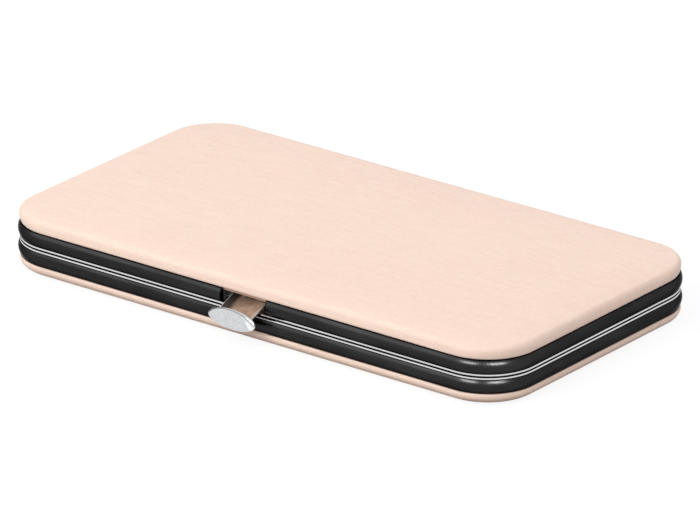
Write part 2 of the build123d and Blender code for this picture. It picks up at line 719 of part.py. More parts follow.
def scissor_half(way, low):
    """One half of the nail scissors: loop, shank and blade."""
    loop_y = way * SCISSOR_LOOP_OUT
    centre = Pos(-SCISSOR_HANDLE, loop_y, low)
    ring = centre * extrude(Circle(SCISSOR_LOOP_R) - Circle(SCISSOR_LOOP_R - SCISSOR_BAR), SCISSOR_STEEL)
    near = -SCISSOR_HANDLE + SCISSOR_LOOP_R * 0.8
    inner = SCISSOR_LOOP_OUT - SCISSOR_LOOP_R * 0.45
    outer = inner + SCISSOR_BAR * 1.2
    half = SCISSOR_HALF
    shank = plate(
        [
            (near, way * inner), (-half, -way * half * 0.6), (half, -way * half), (half, way * half * 0.5),
            (-half, way * half), (near, way * outer),
        ],
        SCISSOR_STEEL, low,
    )
    blade = plate(
        [
            (half - 1, -way * half), (SCISSOR_BLADE, -way * SCISSOR_POINT_HALF),
            (SCISSOR_BLADE, way * SCISSOR_POINT_HALF), (half - 1, way * half * 0.5),
        ],
        SCISSOR_STEEL, low,
    )
    solid = ring + shank + blade
    return solid - rod(SCISSOR_SCREW_R + PIN_PLAY, (0, 0, low - 1), (0, 0, low + SCISSOR_STEEL + 1))


def scissor_pieces():
    """Nail scissors, closed."""
    place = Pos(SCISSOR_X, SCISSOR_Y, TOOL_Z)
    high = SCISSOR_STEEL + GLUE
    top = high + SCISSOR_STEEL
    head_low = top + GLUE
    head_r = SCISSOR_SCREW_R + SCISSOR_SCREW_RIM
    screw = rod(SCISSOR_SCREW_R, (0, 0, 0), (0, 0, head_low))
    screw += rod(head_r, (0, 0, head_low), (0, 0, head_low + SCISSOR_SCREW_HEAD))
    return {
        "scissor_lower_blade": place * scissor_half(-1, 0.0),
        "scissor_upper_blade": place * scissor_half(1, high),
        "scissor_screw": place * screw,
    }


def tweezer_arm(way):
    """One spring arm of the tweezers, lying on its side."""
    steel = TWEEZER_STEEL
    widest = TWEEZER_LENGTH * 0.68
    points = [
        (0, GLUE / 2), (TWEEZER_WELD, GLUE / 2), (widest, TWEEZER_SPREAD), (TWEEZER_LENGTH, TWEEZER_TIP_GAP),
        (TWEEZER_LENGTH, TWEEZER_TIP_GAP + steel * 0.7), (widest, TWEEZER_SPREAD + steel),
        (TWEEZER_WELD, GLUE / 2 + steel), (0, GLUE / 2 + steel),
    ]
    arm = plate([(x, way * y) for x, y in points], TWEEZER_WIDE)
    middle = TWEEZER_WIDE / 2
    side = xz_piece([
        (0, TWEEZER_END_DROP), (TWEEZER_WELD, 0), (TWEEZER_STRAIGHT, 0),
        (TWEEZER_LENGTH, middle - TWEEZER_POINT_HALF), (TWEEZER_LENGTH, middle + TWEEZER_POINT_HALF),
        (TWEEZER_STRAIGHT, TWEEZER_WIDE), (TWEEZER_WELD, TWEEZER_WIDE), (0, TWEEZER_WIDE - TWEEZER_END_DROP),
    ], FAR)
    return Pos(TWEEZER_X, TWEEZER_Y, TOOL_Z) * (arm & side)


def file_pieces():
    """Nail file: a steel blade whose tang sits in a moulded handle."""
    blade_low = (FILE_HANDLE_THICK - FILE_THICK) / 2
    half = FILE_WIDE / 2
    blade_half = half - FILE_BLADE_INSET
    shoulder = FILE_HANDLE
    tip = FILE_LENGTH
    blade = plate(
        [
            (shoulder, -blade_half), (tip - FILE_TIP, -blade_half), (tip, -FILE_POINT_HALF),
            (tip, FILE_POINT_HALF), (tip - FILE_TIP, blade_half), (shoulder, blade_half),
        ],
        FILE_THICK, blade_low,
    )
    tang_half = FILE_TANG_WIDE / 2
    tang = block(shoulder - FILE_TANG, shoulder, -tang_half, tang_half, blade_low, blade_low + FILE_THICK)
    handle = Pos(FILE_HANDLE / 2 - FILE_SHADOW / 2, 0, 0) * extrude(
        RectangleRounded(FILE_HANDLE - FILE_SHADOW, FILE_WIDE, half * 0.8), FILE_HANDLE_THICK)
    handle = fillet(handle.edges().group_by(Axis.Z)[-1], FILE_HANDLE_EDGE)
    low = blade_low - GLUE
    side = tang_half + GLUE
    slot = block(shoulder - FILE_TANG - GLUE, shoulder + 1, -side, side, low, low + FILE_THICK + 2 * GLUE)
    place = Pos(FILE_X, FILE_Y, TOOL_Z)
    return {"file_blade": place * (blade + tang), "file_handle": place * (handle - slot)}


def double_ended_rod(length, forked):
    """Round handle with a necked flat paddle at one end and a paddle or fork at the other."""
    start = ROD_END + ROD_NECK
    end = length - start
    solid = rod(ROD_R, (start, 0, ROD_R), (end, 0, ROD_R))
    for x, way in ((start, -1), (end, 1)):
        neck = Plane(origin=(x, 0, ROD_R), z_dir=(way, 0, 0))
        far = neck.offset(ROD_NECK)
        solid += loft([neck * Circle(ROD_R).face(), far * Circle(ROD_R * 0.5).face()])
        middle = x + way * (ROD_NECK + ROD_END / 2 - 1)
        paddle = Pos(middle, 0, ROD_R - ROD_PADDLE / 2) * extrude(
            RectangleRounded(ROD_END + 2, 2 * ROD_PADDLE_HALF, ROD_PADDLE_HALF * 0.9), ROD_PADDLE)
        if forked and way > 0:
            tip = length
            paddle -= plate([(tip - FORK_DEEP, 0), (tip + 1, -FORK_HALF), (tip + 1, FORK_HALF)], FAR)
        solid += paddle
    return solid


def tool_pieces():
    """Every tool in the tray."""
    pieces = {}
    pieces.update(file_pieces())
    pieces.update(clipper_pieces("toenail_clipper", TOE_LENGTH, TOE_WIDE, TOE_X, TOE_Y))
    pieces.update(clipper_pieces("fingernail_clipper", NAIL_LENGTH, NAIL_WIDE, NAIL_X, NAIL_Y))
    pieces.update(scissor_pieces())
    pieces["tweezer_fixed_arm"] = tweezer_arm(-1)
    pieces["tweezer_moving_arm"] = tweezer_arm(1)
    pieces["cuticle_pusher"] = Pos(PUSHER_X, PUSHER_Y, TOOL_Z) * double_ended_rod(PUSHER_LENGTH, False)
    pieces["cuticle_trimmer"] = Pos(TRIMMER_X, TRIMMER_Y, TOOL_Z) * double_ended_rod(TRIMMER_LENGTH, True)
    return pieces


def main():
    """Builds every piece and writes one file for each."""
    os.makedirs("parts", exist_ok=True)
    pieces = {}
    pieces.update(lid_pieces())
    pieces.update(base_pieces())
    pieces.update(hinge_pieces())
    pieces.update(catch_pieces())
    pieces["tool_tray"] = tool_tray()
    pieces.update(tool_pieces())
    for name, shape in pieces.items():
        export_step(shape, "parts/" + name + ".step")


main()
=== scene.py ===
"""Looks of a slim pedicure case with its tools.

Peach woven covers lie over foam and board, a black band goes round each half,
bright steel lips meet between the bands, and a sprung catch with an oval push
pad holds them shut. Inside are a flocked tray, its tools and a velour lining.
Everything is in metres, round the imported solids, which are the fixed frame.
"""

import json
import logging
import math
from collections.abc import Callable, Iterator, Mapping, Sequence
from contextlib import contextmanager
from dataclasses import dataclass, field
from enum import Enum
from functools import cache
from itertools import pairwise

import bmesh
import bpy
from bpy.types import ID, Material, Node, NodeSocket, NodeTree, Object, World
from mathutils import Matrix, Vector


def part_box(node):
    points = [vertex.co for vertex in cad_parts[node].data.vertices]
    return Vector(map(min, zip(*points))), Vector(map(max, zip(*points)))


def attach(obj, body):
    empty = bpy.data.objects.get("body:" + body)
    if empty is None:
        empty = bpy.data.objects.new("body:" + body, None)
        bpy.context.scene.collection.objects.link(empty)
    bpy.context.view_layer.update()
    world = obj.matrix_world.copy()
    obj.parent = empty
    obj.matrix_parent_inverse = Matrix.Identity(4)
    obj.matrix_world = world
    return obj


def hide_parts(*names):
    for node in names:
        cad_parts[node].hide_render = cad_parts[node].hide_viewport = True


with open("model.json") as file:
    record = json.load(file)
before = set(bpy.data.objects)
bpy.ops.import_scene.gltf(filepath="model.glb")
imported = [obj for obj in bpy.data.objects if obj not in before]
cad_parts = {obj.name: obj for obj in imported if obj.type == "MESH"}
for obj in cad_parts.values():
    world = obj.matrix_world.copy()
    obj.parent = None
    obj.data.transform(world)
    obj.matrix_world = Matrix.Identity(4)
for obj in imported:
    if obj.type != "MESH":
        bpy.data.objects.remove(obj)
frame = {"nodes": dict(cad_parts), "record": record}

MM = 0.001
Colour = tuple[float, float, float]
Place = tuple[float, float, float]
Point = tuple[float, float]
Profile = list[Point]
Sockets = Mapping[str, NodeSocket]
Test = Callable[[Vector, Vector], bool]
log = logging.getLogger("pedicure_case")

# Sizes that a piece shares with its finish.
CORNER = 14.5 * MM
BAND_LOW = 0.8 * MM
BAND_HIGH = 4.6 * MM
PAD_HALF_LONG = 7.6 * MM
PAD_HALF_HIGH = 3.0 * MM


def tone(red: int, green: int, blue: int) -> Colour:
    """Turn a screen colour, 0 to 255, into the linear colour that a shader takes.

    Args:
        red: Red level.
        green: Green level.
        blue: Blue level.

    Returns:
        The linear colour.
    """
    levels = (level / 255 for level in (red, green, blue))
    return tuple(x / 12.92 if x <= 0.04045 else ((x + 0.055) / 1.055) ** 2.4 for x in levels)


@cache
def parting_height() -> float:
    """Height of the plane between the two halves' lips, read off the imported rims."""
    return (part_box("base_rim")[1].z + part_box("lid_rim")[0].z) / 2


class Half(Enum):
    """The two halves of the case, with the way each one's depth runs."""

    LID = 1
    BASE = -1

    @property
    def word(self) -> str:
        """Name of the half, which is also its body's name."""
        return self.name.lower()


class Element(Enum):
    """What an edit works on."""

    VERTS = "VERT"
    EDGES = "EDGE"
    FACES = "FACE"


def take(piece: Object) -> None:
    """Select one piece alone and make it active."""
    bpy.ops.object.select_all(action="DESELECT")
    piece.select_set(True)
    bpy.context.view_layer.objects.active = piece


@contextmanager
def editing(piece: Object, element: Element = Element.FACES, whole: bool = False) -> Iterator[None]:
    """Hold a piece open in edit mode.

    Args:
        piece: The mesh object.
        element: What is selected in it.
        whole: Whether all of it is selected at first, and not none of it.
    """
    take(piece)
    bpy.ops.object.mode_set(mode="EDIT")
    bpy.ops.mesh.select_mode(type=element.value)
    bpy.ops.mesh.select_all(action="SELECT" if whole else "DESELECT")
    yield
    bpy.ops.object.mode_set(mode="OBJECT")


def choose(piece: Object, element: Element, test: Test) -> None:
    """Select, in edit mode, what passes a test and nothing else.

    Args:
        piece: The piece that is being edited.
        element: What is selected.
        test: Takes an element's middle, and its normal or an edge's direction.
    """
    bpy.ops.mesh.select_all(action="DESELECT")
    mesh = bmesh.from_edit_mesh(piece.data)
    items = {Element.VERTS: mesh.verts, Element.EDGES: mesh.edges, Element.FACES: mesh.faces}
    for item in items[element]:
        if element is Element.VERTS:
            middle, way = item.co, item.normal
        elif element is Element.EDGES:
            first, last = (vert.co for vert in item.verts)
            middle, way = (first + last) / 2, (last - first).normalized()
        else:
            middle, way = item.calc_center_median(), item.normal
        if test(middle, way):
            item.select_set(True)
    mesh.select_flush_mode()
    bmesh.update_edit_mesh(piece.data)


def cut_away(piece: Object, test: Test) -> None:
    """Delete, in edit mode, the faces that pass a test on their middle and normal."""
    choose(piece, Element.FACES, test)
    bpy.ops.mesh.delete(type="FACE")


def terrace(profile: Profile) -> None:
    """Carry the selected face along a profile, with a ring of faces for each step.

    Args:
        profile: Insets from the lips, and heights along the face's own normal.
    """
    for (inset, height), (next_inset, next_height) in pairwise(profile):
        bpy.ops.mesh.inset(
            thickness=next_inset - inset,
            depth=next_height - height,
            use_even_offset=True,
            use_boundary=True,
        )


def arc(middle: Point, radius: float, start: float, end: float, steps: int, stretch: float = 1.0) -> Profile:
    """Points along a round stretch of a profile.

    Args:
        middle: Inset and height of the arc's middle.
        radius: Its radius.
        start: Slope of the first point's normal above level, in degrees.
        end: Slope of the last one's.
        steps: How many straight steps stand for it.
        stretch: How many times wider than high the arc is.

    Returns:
        Its points, from start to end.
    """
    points = []
    for step in range(steps + 1):
        slope = math.radians(start + (end - start) * step / steps)
        inset = middle[0] - radius * stretch * math.cos(slope)
        points.append((inset, middle[1] + radius * math.sin(slope)))
    return points


def slice_through(normal: Place, offsets: Sequence[float]) -> None:
    """Cut the whole edited mesh by parallel planes.

    Args:
        normal: Unit normal of the planes.
        offsets: Where along the normal each plane stands.
    """
    for offset in offsets:
        bpy.ops.mesh.select_all(action="SELECT")
        place = tuple(offset * way for way in normal)
        bpy.ops.mesh.bisect(plane_co=place, plane_no=normal, threshold=1e-6)


def evenly(reach: float, spacing: float) -> list[float]:
    """Even places from minus reach to plus reach, both ends left out."""
    count = max(2, round(2 * reach / spacing))
    return [reach * (2 * step / count - 1) for step in range(1, count)]


def apply_modifier(piece: Object, kind: str, **settings: object) -> None:
    """Add one modifier to a piece and apply it.

    Args:
        piece: The piece.
        kind: Blender's name for the modifier.
        **settings: Its settings.
    """
    take(piece)
    modifier = piece.modifiers.new(kind.title(), kind)
    for name, value in settings.items():
        setattr(modifier, name, value)
    bpy.ops.object.modifier_apply(modifier=modifier.name)


def smooth(piece: Object, angle: float = 35.0) -> None:
    """Shade a piece smooth, but for edges sharper than an angle in degrees."""
    take(piece)
    bpy.ops.object.shade_smooth_by_angle(angle=math.radians(angle))


def add_object(name: str, data: ID) -> Object:
    """Put a new object in the scene.

    Args:
        name: Its name.
        data: Its mesh, lamp or camera.

    Returns:
        The object.
    """
    added = bpy.data.objects.new(name, data)
    bpy.context.scene.collection.objects.link(added)
    return added


def primitive(name: str, operator: Callable, **sizes: object) -> Object:
    """Add the plain shape that a piece starts from.

    Args:
        name: The new piece's name.
        operator: Blender's operator for the shape.
        **sizes: Its sizes.

    Returns:
        The new piece.
    """
    bpy.ops.object.select_all(action="DESELECT")
    operator(**sizes)
    piece = bpy.context.active_object
    piece.name = name
    piece.data.name = name
    return piece


class Graph:
    """Adds nodes to one node tree and links them."""

    def __init__(self, tree: NodeTree) -> None:
        """Work on one tree."""
        self.tree = tree

    @classmethod
    def emptied(cls, owner: Material | World) -> "Graph":
        """Open a material's or a world's own nodes, with none left in them.

        Args:
            owner: The material or the world.

        Returns:
            Its nodes.
        """
        owner.use_nodes = True
        owner.node_tree.nodes.clear()
        return cls(owner.node_tree)

    def feed(self, node: Node, socket: str, value: NodeSocket) -> None:
        """Link a value into a node's socket."""
        self.tree.links.new(value, node.inputs[socket])

    def axes(self, place: NodeSocket) -> Sockets:
        """Take a place apart into X, Y and Z."""
        return self.add("ShaderNodeSeparateXYZ", {"Vector": place}).outputs

    def lip_distance(self, height: NodeSocket) -> NodeSocket:
        """Distance of a height from the plane between the lips."""
        return self.calc("ABSOLUTE", self.calc("SUBTRACT", height, parting_height()))

    def add(self, kind: str, inputs: dict | None = None, **settings: object) -> Node:
        """Add a node.

        Args:
            kind: Blender's name for the node.
            inputs: What goes into its sockets, by name or place: a value or another socket.
            **settings: Its own settings.

        Returns:
            The node.
        """
        node = self.tree.nodes.new(kind)
        for name, value in settings.items():
            setattr(node, name, value)
        for name, value in (inputs or {}).items():
            if isinstance(value, NodeSocket):
                self.tree.links.new(value, node.inputs[name])
            else:
                node.inputs[name].default_value = value
        return node

    def calc(self, operation: str, *values: float | NodeSocket) -> NodeSocket:
        """Work out one number from others.

        Args:
            operation: Blender's name for the operation.
            *values: Its operands.

        Returns:
            The socket that holds the result.
        """
        return self.add("ShaderNodeMath", dict(enumerate(values)), operation=operation).outputs[0]

    def span(self, value: NodeSocket, low: float, high: float, start: float, end: float) -> NodeSocket:
        """Carry a value from one range to another, and hold it at the ends.

        Args:
            value: The value.
            low: Its low end.
            high: Its high end.
            start: What the low end becomes.
            end: What the high end becomes.

        Returns:
            The socket that holds the result.
        """
        inputs = {"Value": value, "From Min": low, "From Max": high, "To Min": start, "To Max": end}
        return self.add("ShaderNodeMapRange", inputs).outputs["Result"]

    def mix(self, share: float | NodeSocket, first: object, second: object) -> NodeSocket:
        """Mix two colours.

        Args:
            share: How much of the second shows.
            first: A colour, or a socket.
            second: A colour, or a socket.

        Returns:
            The socket that holds the result.
        """
        sides = [(*side, 1.0) if isinstance(side, tuple) else side for side in (first, second)]
        inputs = {0: share, 6: sides[0], 7: sides[1]}
        return self.add("ShaderNodeMix", inputs, data_type="RGBA").outputs[2]

    def within(self, value: NodeSocket, middle: float, reach: float, blur: float) -> NodeSocket:
        """Mask what lies near a level.

        Args:
            value: The value that is tested.
            middle: The level.
            reach: How far from it the mask is whole.
            blur: Over how much more it fades.

        Returns:
            The mask, 1 near the level and 0 away from it.
        """
        away = self.calc("ABSOLUTE", self.calc("SUBTRACT", value, middle))
        return self.span(away, reach, reach + blur, 1.0, 0.0)

    def stretched(self, vector: NodeSocket, scale: Place, turn: float = 0.0) -> NodeSocket:
        """Turn a place about Z, in degrees, and stretch it."""
        inputs = {"Vector": vector, "Rotation": (0, 0, math.radians(turn)), "Scale": scale}
        return self.add("ShaderNodeMapping", inputs).outputs["Vector"]

    def noise(
        self, vector: NodeSocket, scale: float | NodeSocket, detail: float = 2.0, rough: float = 0.5
    ) -> NodeSocket:
        """Cloudy noise.

        Args:
            vector: Where it is read.
            scale: How many clouds to the unit.
            detail: How many finer layers it has.
            rough: How strong those are.

        Returns:
            The socket that holds it, about 0.5 on average.
        """
        inputs = {"Vector": vector, "Scale": scale, "Detail": detail, "Roughness": rough}
        return self.add("ShaderNodeTexNoise", inputs).outputs[0]

    def effect(self, tree: NodeTree, inputs: dict) -> Sockets:
        """Place a shared effect in this tree, and give what it puts out."""
        return self.add("ShaderNodeGroup", inputs, node_tree=tree).outputs


class SharedEffect:
    """A node group that more than one finish uses."""

    def __init__(self, name: str, inputs: dict[str, str], outputs: Sequence[str]) -> None:
        """Make the group with its sockets.

        Args:
            name: The group's name.
            inputs: Name and kind of each input.
            outputs: Name of each output, all plain numbers.
        """
        self.tree = bpy.data.node_groups.new(name, "ShaderNodeTree")
        for label, kind in inputs.items():
            self.tree.interface.new_socket(label, in_out="INPUT", socket_type=kind)
        for label in outputs:
            self.tree.interface.new_socket(label, in_out="OUTPUT", socket_type="NodeSocketFloat")
        self.graph = Graph(self.tree)
        self.given = self.graph.add("NodeGroupInput").outputs
        self.result = self.graph.add("NodeGroupOutput").inputs

    def give(self, label: str, value: NodeSocket) -> None:
        """Send a value out of the group."""
        self.tree.links.new(value, self.result[label])


VECTOR = "NodeSocketVector"
NUMBER = "NodeSocketFloat"


@cache
def thread_effect() -> NodeTree:
    """Plain weave: rows of threads along X, each tied down at staggered places.

    Returns:
        The node group.
    """
    inputs = {"Vector": VECTOR, "Row Pitch": NUMBER, "Float Length": NUMBER}
    effect = SharedEffect("thread_rows", inputs, ("Height", "Groove", "Slub", "Fleck"))
    graph = effect.graph
    waver = graph.noise(effect.given["Vector"], 90.0, 1.0)
    axes = graph.axes(effect.given["Vector"])
    waved = graph.calc("MULTIPLY_ADD", graph.span(waver, 0, 1, -0.5, 0.5), 0.6 * MM, axes["Y"])
    rows = graph.calc("DIVIDE", waved, effect.given["Row Pitch"])
    row = graph.calc("FLOOR", rows)
    across = graph.calc("FRACT", rows)
    side = graph.calc("ABSOLUTE", graph.span(across, 0, 1, -1, 1))
    crest = graph.calc("SQRT", graph.calc("SUBTRACT", 1.0, graph.calc("POWER", side, 2.0)))
    chance = graph.add("ShaderNodeTexWhiteNoise", {"W": row}, noise_dimensions="1D").outputs["Value"]
    start = graph.calc("MULTIPLY_ADD", row, 0.5, graph.calc("MULTIPLY", chance, 0.16))
    lengths = graph.calc("ADD", graph.calc("DIVIDE", axes["X"], effect.given["Float Length"]), start)
    tie = graph.calc("ABSOLUTE", graph.span(graph.calc("FRACT", lengths), 0, 1, -1, 1))
    dip = graph.span(tie, 0.72, 1.0, 0.0, 1.0)
    cell = graph.add("ShaderNodeCombineXYZ", {"X": graph.calc("FLOOR", lengths), "Y": row})
    fleck = graph.add("ShaderNodeTexWhiteNoise", {"Vector": cell.outputs[0]}, noise_dimensions="2D")
    place = graph.add("ShaderNodeCombineXYZ", {"X": graph.calc("MULTIPLY", axes["X"], 160.0), "Y": row})
    thick = graph.noise(place.outputs[0], 1.0, 2.0)
    slub = graph.span(thick, 0.25, 0.75, -1, 1)
    height = graph.calc("MULTIPLY", crest, graph.span(dip, 0, 1, 1.0, 0.35))
    effect.give("Height", graph.calc("MULTIPLY_ADD", slub, 0.25, height))
    effect.give("Groove", graph.calc("SUBTRACT", 1.0, height))
    effect.give("Slub", slub)
    effect.give("Fleck", fleck.outputs["Value"])
    return effect.tree


@cache
def wear_effect() -> NodeTree:
    """Rubbed outer edges, broken up by noise.

    Returns:
        The node group.
    """
    effect = SharedEffect("edge_wear", {"Vector": VECTOR, "Amount": NUMBER}, ("Mask",))
    graph = effect.graph
    point = graph.add("ShaderNodeNewGeometry").outputs["Pointiness"]
    edge = graph.span(point, 0.52, 0.62, 0.0, 1.0)
    broken = graph.span(graph.noise(effect.given["Vector"], 900.0, 4.0), 0.4, 0.65, 0.0, 1.0)
    mask = graph.calc("MULTIPLY", graph.calc("MULTIPLY", edge, broken), effect.given["Amount"])
    effect.give("Mask", mask)
    return effect.tree


@cache
def grain_effect() -> NodeTree:
    """Fine grain and pits, and an unevenness that is 25 times broader.

    Returns:
        The node group.
    """
    inputs = {"Vector": VECTOR, "Scale": NUMBER}
    effect = SharedEffect("surface_grain", inputs, ("Fine", "Broad", "Pits"))
    graph = effect.graph
    scale = effect.given["Scale"]
    fine = graph.noise(effect.given["Vector"], scale, 5.0, 0.65)
    broad = graph.noise(effect.given["Vector"], graph.calc("MULTIPLY", scale, 0.04), 1.0)
    cells = {"Vector": effect.given["Vector"], "Scale": scale}
    pits = graph.add("ShaderNodeTexVoronoi", cells).outputs["Distance"]
    effect.give("Fine", fine)
    effect.give("Broad", broad)
    effect.give("Pits", graph.span(pits, 0.05, 0.3, 1.0, 0.0))
    return effect.tree


@cache
def lint_effect() -> NodeTree:
    """Sparse pale specks of lint and dust.

    Returns:
        The node group.
    """
    inputs = {"Vector": VECTOR, "Scale": NUMBER, "Amount": NUMBER}
    effect = SharedEffect("lint", inputs, ("Mask",))
    graph = effect.graph
    cells = {"Vector": effect.given["Vector"], "Scale": effect.given["Scale"]}
    voronoi = graph.add("ShaderNodeTexVoronoi", cells).outputs
    speck = graph.span(voronoi["Distance"], 0.04, 0.1, 1.0, 0.0)
    chance = graph.add("ShaderNodeSeparateColor", {"Color": voronoi["Color"]}).outputs[0]
    kept = graph.calc("LESS_THAN", chance, effect.given["Amount"])
    effect.give("Mask", graph.calc("MULTIPLY", speck, kept))
    return effect.tree


@dataclass(frozen=True)
class Finish:
    """A surface finish: its colour and the plain numbers set straight on the shader."""

    label: str
    colour: Colour
    roughness: float = 0.5
    metallic: float = 0.0
    plain: tuple[tuple[str, float | tuple[float, ...]], ...] = ()

    def make(self) -> Material:
        """Build the material.

        Returns:
            The material, dressed with this finish's own detail.
        """
        material = bpy.data.materials.new(self.label)
        material.diffuse_color = (*self.colour, 1.0)
        graph = Graph.emptied(material)
        shader = graph.add("ShaderNodeBsdfPrincipled", dict(self.plain))
        shader.inputs["Base Color"].default_value = (*self.colour, 1.0)
        shader.inputs["Roughness"].default_value = self.roughness
        shader.inputs["Metallic"].default_value = self.metallic
        graph.add("ShaderNodeOutputMaterial", {"Surface": shader.outputs[0]})
        self.dress(graph, shader)
        return material

    def dress(self, graph: Graph, shader: Node) -> None:
        """Give the plain shader this finish's own detail.

        Args:
            graph: The material's nodes.
            shader: The shader in it.
        """
        raise NotImplementedError

    def place(self, graph: Graph) -> NodeSocket:
        """Where on the piece a pattern is read, in metres."""
        return graph.add("ShaderNodeTexCoord").outputs["Object"]

    def roughen(self, graph: Graph, shader: Node, value: NodeSocket, reach: Point, shift: Point) -> None:
        """Let the roughness follow a value.

        Args:
            graph: The material's nodes.
            shader: The shader that takes the roughness.
            value: The value that it follows.
            reach: The value's low and high end.
            shift: What is added to the finish's roughness at each end.
        """
        rough = graph.span(value, *reach, self.roughness + shift[0], self.roughness + shift[1])
        graph.feed(shader, "Roughness", rough)

    def bump(self, graph: Graph, shader: Node, height: NodeSocket, distance: float, strength: float) -> None:
        """Raise the surface's shading by a height.

        Args:
            graph: The material's nodes.
            shader: The shader that takes the normal.
            height: The height, about 0 to 1.
            distance: What a height of 1 stands for, in metres.
            strength: How much of it shows.
        """
        inputs = {"Height": height, "Distance": distance, "Strength": strength}
        node = graph.add("ShaderNodeBump", inputs)
        graph.feed(shader, "Normal", node.outputs["Normal"])


@dataclass(frozen=True)
class WovenCloth(Finish):
    """Peach cloth in a fine plain weave, with rows of threads along the case."""

    groove: Colour = tone(206, 164, 140)
    blush: Colour = tone(252, 214, 204)
    glint: Colour = tone(255, 240, 220)
    # Painted shade where the cloth tucks behind the band.
    fold: Colour = tone(60, 42, 32)
    row_pitch: float = 0.5 * MM
    float_length: float = 0.62 * MM
    foot: float = 4.7 * MM
    # Painted shade on the hem wall in the catch's notch.
    hem: Colour = tone(196, 162, 140)
    # Painted shade near the base's bottom, by the table.
    rubbed: Colour = tone(200, 166, 144)
    roll: float = 6.9 * MM
    foot_fade: float = 0.16 * MM
    thread_rise: float = 0.07 * MM
    notch_half: float = 7.6 * MM

    def dress(self, graph: Graph, shader: Node) -> None:
        """Weave the threads, let their colour drift a little, and paint shade at the foot, on the rounded
        edge and near the base's bottom.

        Args:
            graph: The material\'s nodes.
            shader: The shader in it.
        """
        cloth = graph.add("ShaderNodeUVMap", uv_map="cloth").outputs["UV"]
        inputs = {"Vector": cloth, "Row Pitch": self.row_pitch, "Float Length": self.float_length}
        weave = graph.effect(thread_effect(), inputs)
        drift = graph.span(graph.noise(self.place(graph), 22.0, 3.0), 0.35, 0.65, 0.0, 1.0)
        base = graph.mix(graph.calc("MULTIPLY", drift, 0.18), self.colour, self.blush)
        base = graph.mix(graph.span(weave["Fleck"], 0.6, 1.0, 0.0, 0.5), base, self.glint)
        streak = graph.noise(graph.stretched(cloth, (70.0, 620.0, 1.0)), 1.0, 3.0)
        shade = graph.span(weave["Slub"], -1, 1, 0.0, 0.1)
        shade = graph.calc("ADD", shade, graph.span(streak, 0.4, 0.72, 0.0, 0.07))
        axes = graph.axes(self.place(graph))
        depth = graph.lip_distance(axes["Z"])
        # On the rounded edge the weave opens; its deeper grooves there are also painted shade, which keeps
        # the edge no brighter than the top.
        open_weave_and_shade = graph.within(depth, self.roll, 0.7 * MM, 0.5 * MM)
        groove = graph.calc("MULTIPLY", weave["Groove"], graph.span(open_weave_and_shade, 0, 1, 0.45, 0.52))
        colour = graph.mix(graph.calc("ADD", groove, shade), base, self.groove)
        # Painted shade: darker towards the bottom of the base, by the table.
        colour = graph.mix(graph.within(axes["Z"], 0.6 * MM, 0.45 * MM, 1.1 * MM), colour, self.rubbed)
        notch = graph.within(axes["X"], 0.0, self.notch_half, 0.2 * MM)
        notch = graph.calc("MULTIPLY", notch, graph.calc("LESS_THAN", axes["Y"], 0.0))
        # Painted shade at the cloth's foot behind the band; in the catch's notch, a paler painted shade on
        # the hem wall.
        past_foot = graph.span(depth, self.foot, self.foot + self.foot_fade, 0.0, 1.0)
        tucked = graph.calc("SUBTRACT", 1.0, past_foot)
        colour = graph.mix(tucked, colour, graph.mix(notch, self.fold, self.hem))
        graph.feed(shader, "Base Color", colour)
        self.roughen(graph, shader, weave["Groove"], (0, 1), (-0.08, 0.1))
        self.bump(graph, shader, weave["Height"], self.thread_rise, 0.7)


@dataclass(frozen=True)
class MouldedPlastic(Finish):
    """Smooth moulded plastic with a faint grain, a few scuffs and lint."""

    grain_scale: float = 2500.0
    grain_height: float = 0.006 * MM
    worn: Colour = tone(96, 96, 98)

    def dress(self, graph: Graph, shader: Node) -> None:
        """Give it grain, uneven gloss and slightly rubbed edges.

        Args:
            graph: The material\'s nodes.
            shader: The shader in it.
        """
        place = self.place(graph)
        grain = graph.effect(grain_effect(), {"Vector": place, "Scale": self.grain_scale})
        wear = graph.effect(wear_effect(), {"Vector": place, "Amount": 0.35})["Mask"]
        lint = graph.effect(lint_effect(), {"Vector": place, "Scale": 260.0, "Amount": 0.05})["Mask"]
        marks = graph.calc("MAXIMUM", wear, graph.calc("MULTIPLY", lint, 0.35))
        graph.feed(shader, "Base Color", graph.mix(marks, self.colour, self.worn))
        uneven = graph.calc("ADD", grain["Fine"], grain["Broad"])
        self.roughen(graph, shader, uneven, (0.7, 1.3), (-0.05, 0.07))
        self.bump(graph, shader, grain["Fine"], self.grain_height, 0.5)


